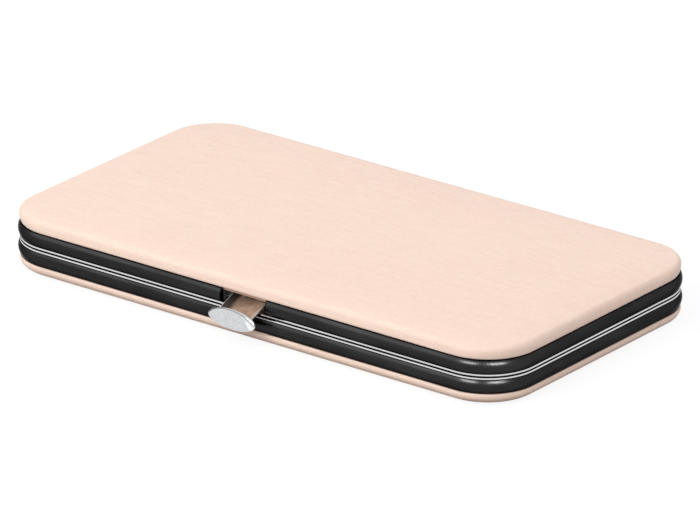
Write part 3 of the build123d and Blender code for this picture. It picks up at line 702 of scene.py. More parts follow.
@dataclass(frozen=True)
class BlackLacquer(Finish):
    """Black lacquer on a swollen band, with painted shade in its two seams and on its cut ends."""

    # Painted shade in the gaps along the band's edges and on its cut ends.
    seam: Colour = tone(9, 8, 8)
    low: float = BAND_LOW
    high: float = BAND_HIGH
    low_seam: float = 0.22 * MM
    high_seam: float = 0.3 * MM
    end: float = 7.45 * MM
    scuff: Colour = tone(58, 57, 58)
    grain_height: float = 0.004 * MM

    def dress(self, graph: Graph, shader: Node) -> None:
        """Give it faint streaks, scuffs, and painted shade along its two seams and on its cut ends.

        Args:
            graph: The material\'s nodes.
            shader: The shader in it.
        """
        place = self.place(graph)
        grain = graph.effect(grain_effect(), {"Vector": place, "Scale": 2200.0})
        lint = graph.effect(lint_effect(), {"Vector": place, "Scale": 300.0, "Amount": 0.04})["Mask"]
        streaks = graph.noise(graph.stretched(place, (60.0, 60.0, 400.0)), 1.0, 3.0)
        cloud = graph.span(streaks, 0.35, 0.7, 0, 1)
        tinted = tuple(level * 1.5 for level in self.colour)
        face = graph.mix(cloud, self.colour, tinted)
        face = graph.mix(graph.calc("MULTIPLY", lint, 0.3), face, self.scuff)
        axes = graph.axes(place)
        height = graph.calc("SUBTRACT", axes["Z"], parting_height())
        depth = graph.calc("ABSOLUTE", height)
        bottom, top = self.low + self.low_seam, self.high - self.high_seam
        # Painted shade along the two seams, and on the lid band's cut ends at the catch.
        unshaded_face = graph.within(depth, (bottom + top) / 2, (top - bottom) / 2, 0.12 * MM)
        ends = graph.within(axes["X"], 0.0, self.end, 0.1 * MM)
        for side in (graph.calc("GREATER_THAN", height, 0.0), graph.calc("LESS_THAN", axes["Y"], 0.0)):
            ends = graph.calc("MULTIPLY", ends, side)
        unshaded_face = graph.calc("MULTIPLY", unshaded_face, graph.calc("SUBTRACT", 1.0, ends))
        graph.feed(shader, "Base Color", graph.mix(unshaded_face, self.seam, face))
        self.roughen(graph, shader, grain["Fine"], (0.3, 0.7), (-0.04, 0.05))
        self.bump(graph, shader, grain["Fine"], self.grain_height, 0.5)


@dataclass(frozen=True)
class PlatedMetal(Finish):
    """Bright plated or polished metal with faint clouding and hair scratches."""

    clouded: Colour = tone(200, 200, 204)
    scratch: float = 0.06
    ripple: float = 0.004 * MM

    def dress(self, graph: Graph, shader: Node) -> None:
        """Cloud the plate a little, scratch it and let it ripple.

        Args:
            graph: The material\'s nodes.
            shader: The shader in it.
        """
        place = self.place(graph)
        broad = graph.effect(grain_effect(), {"Vector": place, "Scale": 1800.0})
        along = graph.stretched(place, (60.0, 2400.0, 2400.0), 24.0)
        hairs = graph.span(graph.noise(along, 1.0, 3.0, 0.7), 0.62, 0.72, 0.0, 1.0)
        cloud = graph.span(broad["Broad"], 0.35, 0.7, 0.0, 0.5)
        graph.feed(shader, "Base Color", graph.mix(cloud, self.colour, self.clouded))
        rough = graph.calc("MULTIPLY_ADD", hairs, self.scratch, self.roughness)
        rough = graph.calc("MULTIPLY_ADD", cloud, 0.05, rough)
        graph.feed(shader, "Roughness", rough)
        self.bump(graph, shader, broad["Fine"], self.ripple, 0.4)


@dataclass(frozen=True)
class RimMetal(PlatedMetal):
    """Bright plate on a rim, with painted shade near the lip's outer edge, between the lips and by the band,
    but for a bead along it.
    """

    # Painted shade in the gap between the lips and next to the band.
    dull: Colour = tone(40, 39, 38)
    meeting: float = 0.29 * MM
    outer: float = 0.67 * MM
    corner: float = CORNER
    dull_depth: float = 0.5 * MM

    def dress(self, graph: Graph, shader: Node) -> None:
        """Plate the rim, and paint shade either side of the bead along its outer edge.

        Args:
            graph: The material\'s nodes.
            shader: The shader in it.
        """
        super().dress(graph, shader)
        axes = graph.axes(self.place(graph))
        depth = graph.lip_distance(axes["Z"])
        bead = (self.meeting + self.outer) / 2
        bright = graph.within(depth, bead, (self.outer - self.meeting) / 2, 0.03 * MM)
        reaches = []
        for axis, half in zip("XY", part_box("base_rim")[1]):
            far = graph.calc("ABSOLUTE", axes[axis])
            reaches.append(graph.calc("MAXIMUM", graph.calc("SUBTRACT", far, half - self.corner), 0.0))
        squares = [graph.calc("POWER", reach, 2.0) for reach in reaches]
        out = graph.calc("SQRT", graph.calc("ADD", *squares))
        gap_shade_start = self.corner - self.dull_depth
        inner = graph.span(out, gap_shade_start - 0.1 * MM, gap_shade_start, 1, 0)
        bright = graph.calc("MAXIMUM", bright, inner)
        # Painted shade either side of the bead, near the lip's outer edge; further in the rim stays bright.
        plated = shader.inputs["Base Color"].links[0].from_socket
        graph.feed(shader, "Base Color", graph.mix(bright, self.dull, plated))


@dataclass(frozen=True)
class SmokedPlate(Finish):
    """Warm plate whose brown tone is also a painted reflection of the shaded cloth above it, with fine lines
    down its slope, painted shade on its left side and painted highlights along its sides.
    """

    deep: Colour = tone(124, 99, 82)
    shaded: Colour = tone(33, 27, 29)
    # Painted highlight along the plate's two sides.
    bright: Colour = tone(206, 203, 196)
    half_wide: float = 5.5 * MM
    edge: float = 0.16 * MM
    shaded_x: float = -3.2 * MM
    shaded_fade: float = 1.3 * MM
    line_height: float = 0.004 * MM

    def dress(self, graph: Graph, shader: Node) -> None:
        """Lay in the lines, vary the painted reflection's brown unevenly, paint shade on the left side and
        paint highlights along the sides.

        Args:
            graph: The material\'s nodes.
            shader: The shader in it.
        """
        place = self.place(graph)
        lines = graph.noise(graph.stretched(place, (5200.0, 260.0, 260.0)), 1.0, 3.0)
        cloud = graph.noise(place, 520.0, 4.0, 0.6)
        share = graph.calc("MULTIPLY", graph.calc("ADD", lines, cloud), 0.5)
        # Painted reflection: the brown stands in part for the shaded cloth that the plate reflects.
        reflection_tone = graph.mix(graph.span(share, 0.36, 0.62, 0.7, 0.0), self.colour, self.deep)
        across = graph.axes(place)["X"]
        # Painted shade on the plate's left side.
        left = graph.span(across, self.shaded_x, self.shaded_x + self.shaded_fade, 0.95, 0.0)
        reflection_tone = graph.mix(left, reflection_tone, self.shaded)
        # Painted highlights along the plate's two sides.
        inside = graph.within(across, 0.0, self.half_wide - self.edge, 0.02 * MM)
        graph.feed(shader, "Base Color", graph.mix(inside, self.bright, reflection_tone))
        self.roughen(graph, shader, cloud, (0.3, 0.7), (-0.04, 0.06))
        self.bump(graph, shader, lines, self.line_height, 0.5)


@dataclass(frozen=True)
class PadChrome(Finish):
    """Chromed push pad: softly mottled, with a painted dark reflection line under its upper edge and a
    painted highlight near its right end.
    """

    pale: Colour = tone(214, 216, 219)
    # Painted highlight near the pad's right end.
    facet: Colour = tone(252, 252, 252)
    # Painted dark reflection line under the pad's upper edge.
    line: Colour = tone(52, 52, 54)
    half_long: float = PAD_HALF_LONG
    half_high: float = PAD_HALF_HIGH
    facet_x: float = 6.0 * MM
    facet_slant: float = 0.55
    mottle_height: float = 0.006 * MM

    def dress(self, graph: Graph, shader: Node) -> None:
        """Mottle the plate, paint the highlight and paint the dark reflection line.

        Args:
            graph: The material\'s nodes.
            shader: The shader in it.
        """
        place = self.place(graph)
        mottle = graph.span(graph.noise(place, 800.0, 4.0, 0.6), 0.3, 0.72, 0.0, 1.0)
        plate = graph.mix(mottle, self.colour, self.pale)
        axes = graph.axes(place)
        middle = sum(corner.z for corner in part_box("catch_pad")) / 2
        up = graph.calc("SUBTRACT", axes["Z"], middle)
        slanted = graph.calc("MULTIPLY_ADD", up, self.facet_slant, axes["X"])
        # Painted highlight: a slanted patch near the pad's right end.
        facet = graph.within(slanted, self.facet_x, 0.5 * MM, 0.8 * MM)
        high = graph.within(up, -0.4 * MM, 0.7 * MM, 0.9 * MM)
        shine = graph.calc("MULTIPLY", graph.calc("MULTIPLY", facet, high), 0.8)
        plate = graph.mix(shine, plate, self.facet)
        long = graph.calc("POWER", graph.calc("DIVIDE", axes["X"], self.half_long), 2.0)
        tall = graph.calc("POWER", graph.calc("DIVIDE", up, self.half_high), 2.0)
        out = graph.calc("SQRT", graph.calc("ADD", long, tall))
        drawn = graph.calc("MULTIPLY_ADD", axes["X"], 0.02 / self.half_long, out)
        # Painted dark reflection line under the upper edge, on the upper half only.
        ring = graph.calc("MULTIPLY", graph.within(drawn, 0.93, 0.024, 0.02), graph.span(up, 0, MM, 0, 0.85))
        graph.feed(shader, "Base Color", graph.mix(ring, plate, self.line))
        self.roughen(graph, shader, mottle, (0, 1), (0.05, -0.03))
        self.bump(graph, shader, mottle, self.mottle_height, 0.5)


@dataclass(frozen=True)
class BrushedMetal(Finish):
    """Satin steel, brushed along X."""

    worn: Colour = tone(226, 227, 230)
    line_height: float = 0.008 * MM

    def dress(self, graph: Graph, shader: Node) -> None:
        """Brush it and polish its edges.

        Args:
            graph: The material\'s nodes.
            shader: The shader in it.
        """
        place = self.place(graph)
        lines = graph.stretched(place, (70.0, 5200.0, 5200.0))
        brushed = graph.noise(lines, 1.0, 4.0, 0.6)
        wear = graph.effect(wear_effect(), {"Vector": place, "Amount": 0.8})["Mask"]
        grain = graph.effect(grain_effect(), {"Vector": place, "Scale": 700.0})
        dark = tuple(level * 0.78 for level in self.colour)
        steel = graph.mix(graph.span(brushed, 0.3, 0.7, 0.0, 1.0), dark, self.colour)
        graph.feed(shader, "Base Color", graph.mix(wear, steel, self.worn))
        self.roughen(graph, shader, grain["Broad"], (0.3, 0.7), (-0.04, 0.08))
        self.bump(graph, shader, brushed, self.line_height, 0.5)


@dataclass(frozen=True)
class CutFile(Finish):
    """Steel file face with fine teeth cut two ways."""

    tooth: float = 0.55 * MM
    depth: float = 0.08 * MM
    valley: Colour = tone(88, 90, 94)

    def dress(self, graph: Graph, shader: Node) -> None:
        """Cut the two sets of teeth.

        Args:
            graph: The material\'s nodes.
            shader: The shader in it.
        """
        place = self.place(graph)
        cuts = []
        for turn in (62.0, -62.0):
            across = graph.axes(graph.stretched(place, (1, 1, 1), turn))["Y"]
            cuts.append(graph.calc("FRACT", graph.calc("DIVIDE", across, self.tooth)))
        height = graph.calc("MINIMUM", *cuts)
        graph.feed(shader, "Base Color", graph.mix(height, self.valley, self.colour))
        grain = graph.effect(grain_effect(), {"Vector": place, "Scale": 3000.0})
        self.roughen(graph, shader, grain["Fine"], (0.3, 0.7), (-0.06, 0.1))
        self.bump(graph, shader, height, self.depth, 0.8)


@dataclass(frozen=True)
class Flock(Finish):
    """Short dense pile, as on a flocked tray or a velour lining."""

    brushed: Colour = tone(62, 60, 63)
    nap: float = 26.0
    lint: float = 0.16
    dust: Colour = tone(176, 172, 168)
    pile_height: float = 0.12 * MM

    def dress(self, graph: Graph, shader: Node) -> None:
        """Raise the pile, brush it here and there, and drop lint on it.

        Args:
            graph: The material\'s nodes.
            shader: The shader in it.
        """
        place = self.place(graph)
        pile = graph.effect(grain_effect(), {"Vector": place, "Scale": 5200.0})
        nap = graph.span(graph.noise(place, self.nap * 3, 3.0, 0.6), 0.38, 0.66, 0.0, 0.55)
        lint = graph.effect(lint_effect(), {"Vector": place, "Scale": 320.0, "Amount": self.lint})["Mask"]
        tips = graph.calc("MULTIPLY_ADD", graph.span(pile["Fine"], 0.35, 0.75, 0.0, 1.0), 0.4, nap)
        colour = graph.mix(tips, self.colour, self.brushed)
        dusty = graph.mix(graph.calc("MULTIPLY", lint, 0.5), colour, self.dust)
        graph.feed(shader, "Base Color", dusty)
        self.bump(graph, shader, pile["Fine"], self.pile_height, 0.9)


@dataclass(frozen=True)
class Foam(Finish):
    """Open-celled foam sheet."""

    cell: Colour = tone(206, 198, 182)
    cell_depth: float = 0.15 * MM

    def dress(self, graph: Graph, shader: Node) -> None:
        """Open the cells.

        Args:
            graph: The material\'s nodes.
            shader: The shader in it.
        """
        place = self.place(graph)
        cells = graph.effect(grain_effect(), {"Vector": place, "Scale": 1600.0})
        shade = graph.calc("MULTIPLY", cells["Pits"], 0.8)
        graph.feed(shader, "Base Color", graph.mix(shade, self.colour, self.cell))
        self.bump(graph, shader, graph.calc("SUBTRACT", 1.0, cells["Pits"]), self.cell_depth, 0.8)


@dataclass(frozen=True)
class PressedBoard(Finish):
    """Grey-brown board of pressed fibre."""

    fibre: Colour = tone(140, 124, 104)
    # Painted shade on the board in the recess behind the catch.
    inked: Colour = tone(14, 13, 13)
    ink_half: float = 9.0 * MM
    ink_deep: float = 4.0 * MM
    ink_blur: float = 0.5 * MM
    fibre_height: float = 0.03 * MM

    def dress(self, graph: Graph, shader: Node) -> None:
        """Lay in fibres both ways, and paint shade on the board round the catch, in the recess behind it.

        Args:
            graph: The material\'s nodes.
            shader: The shader in it.
        """
        place = self.place(graph)
        along = graph.noise(graph.stretched(place, (240.0, 2600.0, 2600.0), 15.0), 1.0, 3.0)
        across = graph.noise(graph.stretched(place, (2600.0, 240.0, 2600.0), -20.0), 1.0, 3.0)
        fibres = graph.calc("MAXIMUM", along, across)
        share = graph.span(fibres, 0.5, 0.72, 0.0, 0.8)
        board = graph.mix(share, self.colour, self.fibre)
        axes = graph.axes(place)
        wide = graph.within(axes["X"], 0.0, self.ink_half, self.ink_blur)
        deep = graph.within(axes["Y"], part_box("base_rim")[0].y, self.ink_deep, self.ink_blur)
        # Painted shade: the board goes near black round the catch, where it lies in the recess behind it.
        inked = graph.mix(graph.calc("MULTIPLY", wide, deep), board, self.inked)
        graph.feed(shader, "Base Color", inked)
        self.bump(graph, shader, fibres, self.fibre_height, 0.6)


SHEEN = (("Sheen Weight", 0.25), ("Sheen Roughness", 0.45), ("Specular IOR Level", 0.25))
EDGE_TINT = (("Specular Tint", (0.45, 0.45, 0.45, 1.0)),)
LOW_GLOSS = (("Specular IOR Level", 0.2),)
PILE = (("Sheen Weight", 0.5), ("Sheen Roughness", 0.35), ("Specular IOR Level", 0.15))


class Stuff:
    """The finishes that the case is made in."""

    CLOTH = WovenCloth("peach_cloth", tone(255, 229, 213), 0.78, plain=SHEEN)
    BAND = BlackLacquer("black_band", tone(40, 40, 40), 0.26, 1.0, plain=EDGE_TINT)
    HANDLE = MouldedPlastic("black_handle", tone(30, 30, 32), 0.38, plain=(("Specular IOR Level", 0.4),))
    NICKEL = PlatedMetal("bright_nickel", tone(226, 226, 226), 0.16, 1.0)
    LIP = RimMetal("bright_lip", tone(218, 218, 217), 0.12, 1.0)
    PAD = PadChrome("pad_chrome", tone(198, 200, 202), 0.2, 1.0)
    # Warm plating whose brown is also a painted reflection of the shaded cloth above it.
    PLATE = SmokedPlate("smoked_plate", tone(188, 160, 138), 0.36, 0.45, plain=LOW_GLOSS)
    POLISHED = PlatedMetal("polished_steel", tone(216, 218, 221), 0.14, 1.0)
    SATIN = BrushedMetal("satin_steel", tone(205, 207, 211), 0.3, 1.0)
    SPRING = BrushedMetal("spring_wire", tone(150, 150, 152), 0.34, 1.0)
    BLACK_STEEL = BrushedMetal("black_steel", tone(48, 48, 50), 0.42, 0.7, worn=tone(140, 140, 142))
    FILE = CutFile("file_teeth", tone(182, 184, 188), 0.32, 1.0)
    TRAY = Flock("flocked_tray", tone(24, 23, 25), 0.95, plain=PILE)
    LINING = Flock("velour_lining", tone(30, 28, 31), 0.9, plain=PILE, nap=14.0)
    FOAM = Foam("foam_sheet", tone(238, 232, 218), 0.9)
    BOARD = PressedBoard("pressed_board", tone(178, 162, 140), 0.85)


@cache
def material(finish: Finish) -> Material:
    """Make a finish's material the first time it is asked for."""
    return finish.make()


def body_of_node(node: str) -> str:
    """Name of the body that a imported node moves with."""
    bodies = frame["record"]["behaviour"]["bodies"]
    return next(body for body, nodes in bodies.items() if node in nodes)


def hand_over(piece: Object, finish: Finish, *nodes: str) -> Object:
    """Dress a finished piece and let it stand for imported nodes.

    Args:
        piece: The piece, in its place.
        finish: What it is made in.
        *nodes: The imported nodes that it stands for, the first of which it moves with.

    Returns:
        The piece.
    """
    piece.data.materials.clear()
    piece.data.materials.append(material(finish))
    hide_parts(*nodes)
    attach(piece, body_of_node(nodes[0]))
    log.info("%s: %d faces, for %s", piece.name, len(piece.data.polygons), ", ".join(nodes))
    return piece


def dressed_copy(node: str, name: str, finish: Finish, bevel: float, segments: int = 2) -> Object:
    """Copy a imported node, round its edges and dress it.

    Args:
        node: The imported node.
        name: The new piece's name.
        finish: What it is made in.
        bevel: Width of the rounding, in metres.
        segments: How many faces round each edge has.

    Returns:
        The new piece, which stands for the node.
    """
    piece = add_object(name, frame["nodes"][node].data.copy())
    with editing(piece, Element.VERTS, whole=True):
        bpy.ops.mesh.customdata_custom_splitnormals_clear()
        bpy.ops.mesh.remove_doubles(threshold=0.002 * MM)
        bpy.ops.mesh.select_all(action="SELECT")
        bpy.ops.mesh.dissolve_limited(angle_limit=math.radians(0.6))
    if bevel > 0:
        apply_modifier(
            piece,
            "BEVEL",
            width=bevel,
            segments=segments,
            limit_method="ANGLE",
            angle_limit=math.radians(32),
            use_clamp_overlap=True,
        )
    smooth(piece)
    return hand_over(piece, finish, node)


@dataclass(frozen=True)
class CasePlan:
    """Plan of the case: the outline of its bright lips, and where the halves part."""

    half_x: float
    half_y: float
    parting: float
    corner: float = CORNER
    arc_steps: int = 20

    @classmethod
    def from_frame(cls) -> "CasePlan":
        """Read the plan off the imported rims."""
        _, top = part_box("base_rim")
        return cls(top.x, top.y, parting_height())

    def face(self, name: str, inset: float, height: float) -> Object:
        """Add a flat face with the case's outline.

        Args:
            name: The new piece's name.
            inset: How far inside the lips its edge runs.
            height: Its height above the parting plane.

        Returns:
            The new piece.
        """
        piece = primitive(name, bpy.ops.mesh.primitive_plane_add, size=2.0)
        piece.scale = (self.half_x - inset, self.half_y - inset, 1.0)
        bpy.ops.object.transform_apply(location=False, rotation=False, scale=True)
        with editing(piece, Element.VERTS, whole=True):
            rounding = self.corner - inset
            bpy.ops.mesh.bevel(offset=rounding, segments=self.arc_steps, affect="VERTICES", profile=0.5)
            bpy.ops.mesh.select_all(action="SELECT")
            bpy.ops.transform.translate(value=(0, 0, height))
        return piece

    def prism(self, name: str, inset: float, low: float, high: float) -> Object:
        """Add an upright block with the case's outline, between two heights."""
        piece = self.face(name, inset, low)
        with editing(piece, whole=True):
            bpy.ops.mesh.extrude_region_move(TRANSFORM_OT_translate={"value": (0, 0, high - low)})
        return piece

    def grow(self, piece: Object, way: int, profile: Profile) -> None:
        """Carry a block's top or bottom face along a profile.

        Args:
            piece: The block.
            way: 1 for its top, -1 for its bottom.
            profile: Insets and heights above the parting plane.
        """
        with editing(piece):
            choose(piece, Element.FACES, lambda middle, normal: normal.z * way > 0.9)
            terrace([(inset, way * height) for inset, height in profile])

    def open_end(self, piece: Object, way: int) -> None:
        """Take off the outermost level face at a block's top or bottom."""
        end = max(vert.co.z * way for vert in piece.data.vertices)
        with editing(piece):
            cut_away(
                piece,
                lambda middle, normal: normal.z * way > 0.9
                and middle.z * way > end - 1e-7
                and abs(middle.x) + abs(middle.y) < MM,
            )

    def seat(self, piece: Object, half: Half) -> None:
        """Put a piece that was built above the parting plane into its half.

        Args:
            piece: The piece.
            half: The lid, or the base, for which it is turned over.
        """
        with editing(piece, whole=True):
            if half is Half.BASE:
                bpy.ops.transform.rotate(value=math.pi, orient_axis="X", center_override=(0, 0, 0))
            bpy.ops.transform.translate(value=(0, 0, self.parting))


@dataclass
class FabricCover:
    """Cloth drawn over one half's foam and board, its hem tucked behind the black band."""

    plan: CasePlan
    half: Half
    depth: float
    crown: float
    rounding: float
    reach: float
    foot: float = 0.5 * MM
    side: float = -0.1 * MM
    thickness: float = 0.4 * MM
    crown_reach: float = 11.0 * MM
    band_top: float = 4.65 * MM
    hem_low: float = 2.5 * MM
    hem_inset: float = 1.0 * MM
    waist: float = 0.1 * MM
    spacing: float = 1.6 * MM
    hem_cut_half: float = 8.4 * MM
    notch_top: float = 3.9 * MM
    held_reach: float = 0.05 * MM
    pressure: float = 4.0
    swell_frames: int = 20
    swell_most: float = 0.14 * MM

    def build(self) -> None:
        """Model the cover and dress it."""
        skin = self.skin(f"{self.half.word}_cloth")
        self.lay_threads(skin)
        self.swell(skin)
        self.plan.seat(skin, self.half)
        apply_modifier(skin, "SOLIDIFY", thickness=self.thickness, offset=-1.0, use_even_offset=True)
        smooth(skin, 50)
        hand_over(skin, Stuff.CLOTH, f"{self.half.word}_cover")

    def skin(self, name: str) -> Object:
        """Shape the cloth's outer face, as for the lid, from its hem to its flat.

        Args:
            name: The piece's name.

        Returns:
            The open skin.
        """
        shoulder = self.depth - self.rounding
        piece = self.plan.prism(name, self.side, shoulder - self.waist, shoulder)
        middle = (self.side + self.reach, shoulder)
        over = arc(middle, self.rounding, 0, 90, 9, self.reach / self.rounding)
        edge_inset = over[-1][0]
        for step in range(1, 9):
            share = step / 8
            swell = self.crown * (1 - (1 - share) ** 2)
            over.append((edge_inset + share * self.crown_reach, self.depth + swell))
        self.plan.grow(piece, 1, over)
        under = [(self.side, shoulder - self.waist), *self.under_swell(shoulder)]
        under += [(self.hem_inset, self.band_top), (self.hem_inset, self.hem_low)]
        self.plan.grow(piece, -1, under)
        self.plan.open_end(piece, -1)
        straight_x = self.plan.half_x - self.plan.corner
        straight_y = self.plan.half_y - self.plan.corner
        with editing(piece):
            slice_through((1, 0, 0), evenly(straight_x, self.spacing))
            slice_through((0, 1, 0), evenly(straight_y, self.spacing))
        if self.half is Half.LID:
            self.cut_notch(piece)
        return piece

    def under_swell(self, shoulder: float, steps: int = 8) -> Profile:
        """Profile of the side, from its fullest height in to its foot at the band.

        Args:
            shoulder: Height at which the side is fullest.
            steps: How many steps it takes.

        Returns:
            Insets and heights, from the fullest height down.
        """
        points = []
        for step in range(1, steps + 1):
            turn = math.radians(80 * (1 - step / steps))
            inset = self.foot - (self.foot - self.side) * math.sin(turn)
            points.append((inset, shoulder - (shoulder - self.band_top) * math.cos(turn)))
        return points

    def cut_notch(self, piece: Object) -> None:
        """Cut the hem away where the catch comes out of the lid's front."""
        with editing(piece):
            slice_through((1, 0, 0), (-self.hem_cut_half, self.hem_cut_half))
            slice_through((0, 0, 1), (self.notch_top,))
            cut_away(
                piece,
                lambda middle, normal: abs(middle.x) < self.hem_cut_half
                and middle.y < 0
                and middle.z < self.notch_top,
            )

    def held(self, point: Vector) -> bool:
        """Whether the cloth is held at a point: at its hem, and where the base rests."""
        resting = self.half is Half.BASE and point.z > self.depth - self.held_reach
        return resting or point.z < self.band_top + self.held_reach

    def swell(self, piece: Object) -> None:
        """Let simulated cloth swell over its foam, and keep a little of that.

        Args:
            piece: The open skin, as for the lid.
        """
        rest = [vert.co.copy() for vert in piece.data.vertices]
        group = piece.vertex_groups.new(name="held")
        group.add([index for index, point in enumerate(rest) if self.held(point)], 1.0, "REPLACE")
        cloth = piece.modifiers.new("Swell", "CLOTH")
        cloth.settings.vertex_group_mass = group.name
        cloth.settings.use_pressure = True
        cloth.settings.uniform_pressure_force = self.pressure
        cloth.settings.effector_weights.gravity = 0.0
        cloth.point_cache.frame_start = 1
        cloth.point_cache.frame_end = self.swell_frames
        for moment in range(1, self.swell_frames + 1):
            bpy.context.scene.frame_set(moment)
        swollen = piece.evaluated_get(bpy.context.evaluated_depsgraph_get())
        shifts = [vert.co - start for vert, start in zip(swollen.data.vertices, rest)]
        piece.modifiers.remove(cloth)
        piece.vertex_groups.remove(group)
        bpy.context.scene.frame_set(1)
        most = max(shift.length for shift in shifts)
        log.info("%s: swelled by %.2f mm at most", piece.name, most / MM)
        for vert, start, shift in zip(piece.data.vertices, rest, shifts):
            if shift.length > 0:
                kept = self.swell_most * math.tanh(shift.length / self.swell_most)
                vert.co = start + shift.normalized() * kept

    def lay_threads(self, piece: Object) -> None:
        """Map the cloth by its own plan: the flat as it lies, and the sides folded out."""
        layer = piece.data.uv_layers.new(name="cloth")
        for loop in piece.data.loops:
            point = piece.data.vertices[loop.vertex_index].co
            layer.data[loop.index].uv = self.cloth_place(point)

    def cloth_place(self, point: Vector) -> Point:
        """Find where on the unfolded cloth a point of the skin is.

        Args:
            point: A point of the skin, above the parting plane.

        Returns:
            Its place on the flat cloth, in metres.
        """
        reach_x = self.plan.half_x - self.plan.corner
        reach_y = self.plan.half_y - self.plan.corner
        root = Vector((max(-reach_x, min(reach_x, point.x)), max(-reach_y, min(reach_y, point.y))))
        out = Vector((point.x, point.y)) - root
        flat = self.plan.corner - self.side - self.reach
        if out.length <= flat:
            return point.x, point.y
        shoulder = self.depth - self.rounding
        radius = (self.rounding + self.reach) / 2
        if point.z > shoulder:
            slope = math.atan2((out.length - flat) / self.reach, (point.z - shoulder) / self.rounding)
            length = flat + radius * slope
        else:
            length = flat + radius * math.pi / 2 + shoulder - point.z
        place = root + out.normalized() * length
        return place.x, place.y


@dataclass
class EdgeBand:
    """Black band round one half, swollen outwards, with its edges eased."""

    plan: CasePlan
    half: Half
    low: float = BAND_LOW
    high: float = BAND_HIGH
    low_inset: float = 0.1 * MM
    high_inset: float = 0.35 * MM
    bulge: float = 0.45 * MM
    back: float = 0.95 * MM
    waist: float = 0.1 * MM
    ease: float = 0.16 * MM
    notch_half: float = 7.2 * MM
    cut_ease: float = 0.2 * MM
    end_reach: float = 0.4 * MM

    def build(self) -> None:
        """Model the band and dress it."""
        centre, radius = self.circle()
        inset = centre[0] - radius
        name = f"{self.half.word}_edge_band"
        piece = self.plan.prism(name, inset, centre[1] - self.waist, centre[1] + self.waist)
        top_slope = math.degrees(math.asin((self.high - centre[1]) / radius))
        low_slope = math.degrees(math.asin((centre[1] - self.low) / radius))
        over = self.side_of_band(centre, radius, top_slope, self.high, 1)
        under = self.side_of_band(centre, radius, low_slope, self.low, -1)
        self.plan.grow(piece, 1, [(inset, centre[1] + self.waist), *over])
        self.plan.grow(piece, -1, [(inset, centre[1] - self.waist), *under])
        self.hollow(piece)
        if self.half is Half.LID:
            self.cut_notch(piece)
        self.plan.seat(piece, self.half)
        smooth(piece, 50)
        hand_over(piece, Stuff.BAND, f"{self.half.word}_band")

    def circle(self) -> tuple[Point, float]:
        """Find the circle that the swollen face lies on.

        Returns:
            The inset and height of its middle, and its radius.
        """
        low = Vector((self.low_inset, self.low, 0))
        high = Vector((self.high_inset, self.high, 0))
        out = Vector((-self.bulge, (self.low + self.high) / 2, 0))
        first, second = low - out, high - out
        cross = 2 * (first.x * second.y - first.y * second.x)
        x = (second.y * first.length_squared - first.y * second.length_squared) / cross
        y = (first.x * second.length_squared - second.x * first.length_squared) / cross
        return (out.x + x, out.y + y), math.hypot(x, y)

    def side_of_band(self, centre: Point, radius: float, slope: float, end: float, way: int) -> Profile:
        """Profile of the band from near its waist to the back of one edge.

        Args:
            centre: Middle of the swollen face's circle.
            radius: Its radius.
            slope: How far the face turns by the edge, in degrees.
            end: Height of the edge.
            way: 1 for the edge away from the lips, -1 for the one beside them.

        Returns:
            The profile.
        """
        eased = slope - math.degrees(self.ease / radius)
        face = arc(centre, radius, way * 6, way * eased, 9)
        inset, height = face[-1]
        rise = end - height
        corner = [(inset + self.ease * 0.35, height + rise * 0.7), (inset + self.ease * 0.95, end)]
        return [*face, *corner, (self.back, end)]

    def hollow(self, piece: Object) -> None:
        """Open the block into a hoop with an upright back."""
        for way in (1, -1):
            self.plan.open_end(piece, way)
        with editing(piece, Element.EDGES):
            bpy.ops.mesh.select_non_manifold(extend=False)
            bpy.ops.mesh.bridge_edge_loops()
            bpy.ops.mesh.select_all(action="SELECT")
            bpy.ops.mesh.normals_make_consistent(inside=False)

    def cut_notch(self, piece: Object) -> None:
        """Cut the band away in front of the catch and close its two ends."""
        with editing(piece):
            near_end = self.notch_half + self.end_reach
            slice_through((1, 0, 0), (-near_end, -self.notch_half, self.notch_half, near_end))
            cut_away(piece, lambda middle, normal: abs(middle.x) < self.notch_half and middle.y < 0)
        for side in (-1, 1):
            with editing(piece, Element.EDGES):
                near = side * self.notch_half
                choose(
                    piece,
                    Element.EDGES,
                    lambda middle, way: abs(middle.x - near) < 1e-6 and middle.y < 0 and abs(way.x) < 0.5,
                )
                bpy.ops.mesh.edge_face_add()
                bpy.ops.mesh.bevel(offset=self.cut_ease, segments=2, affect="EDGES", clamp_overlap=True)


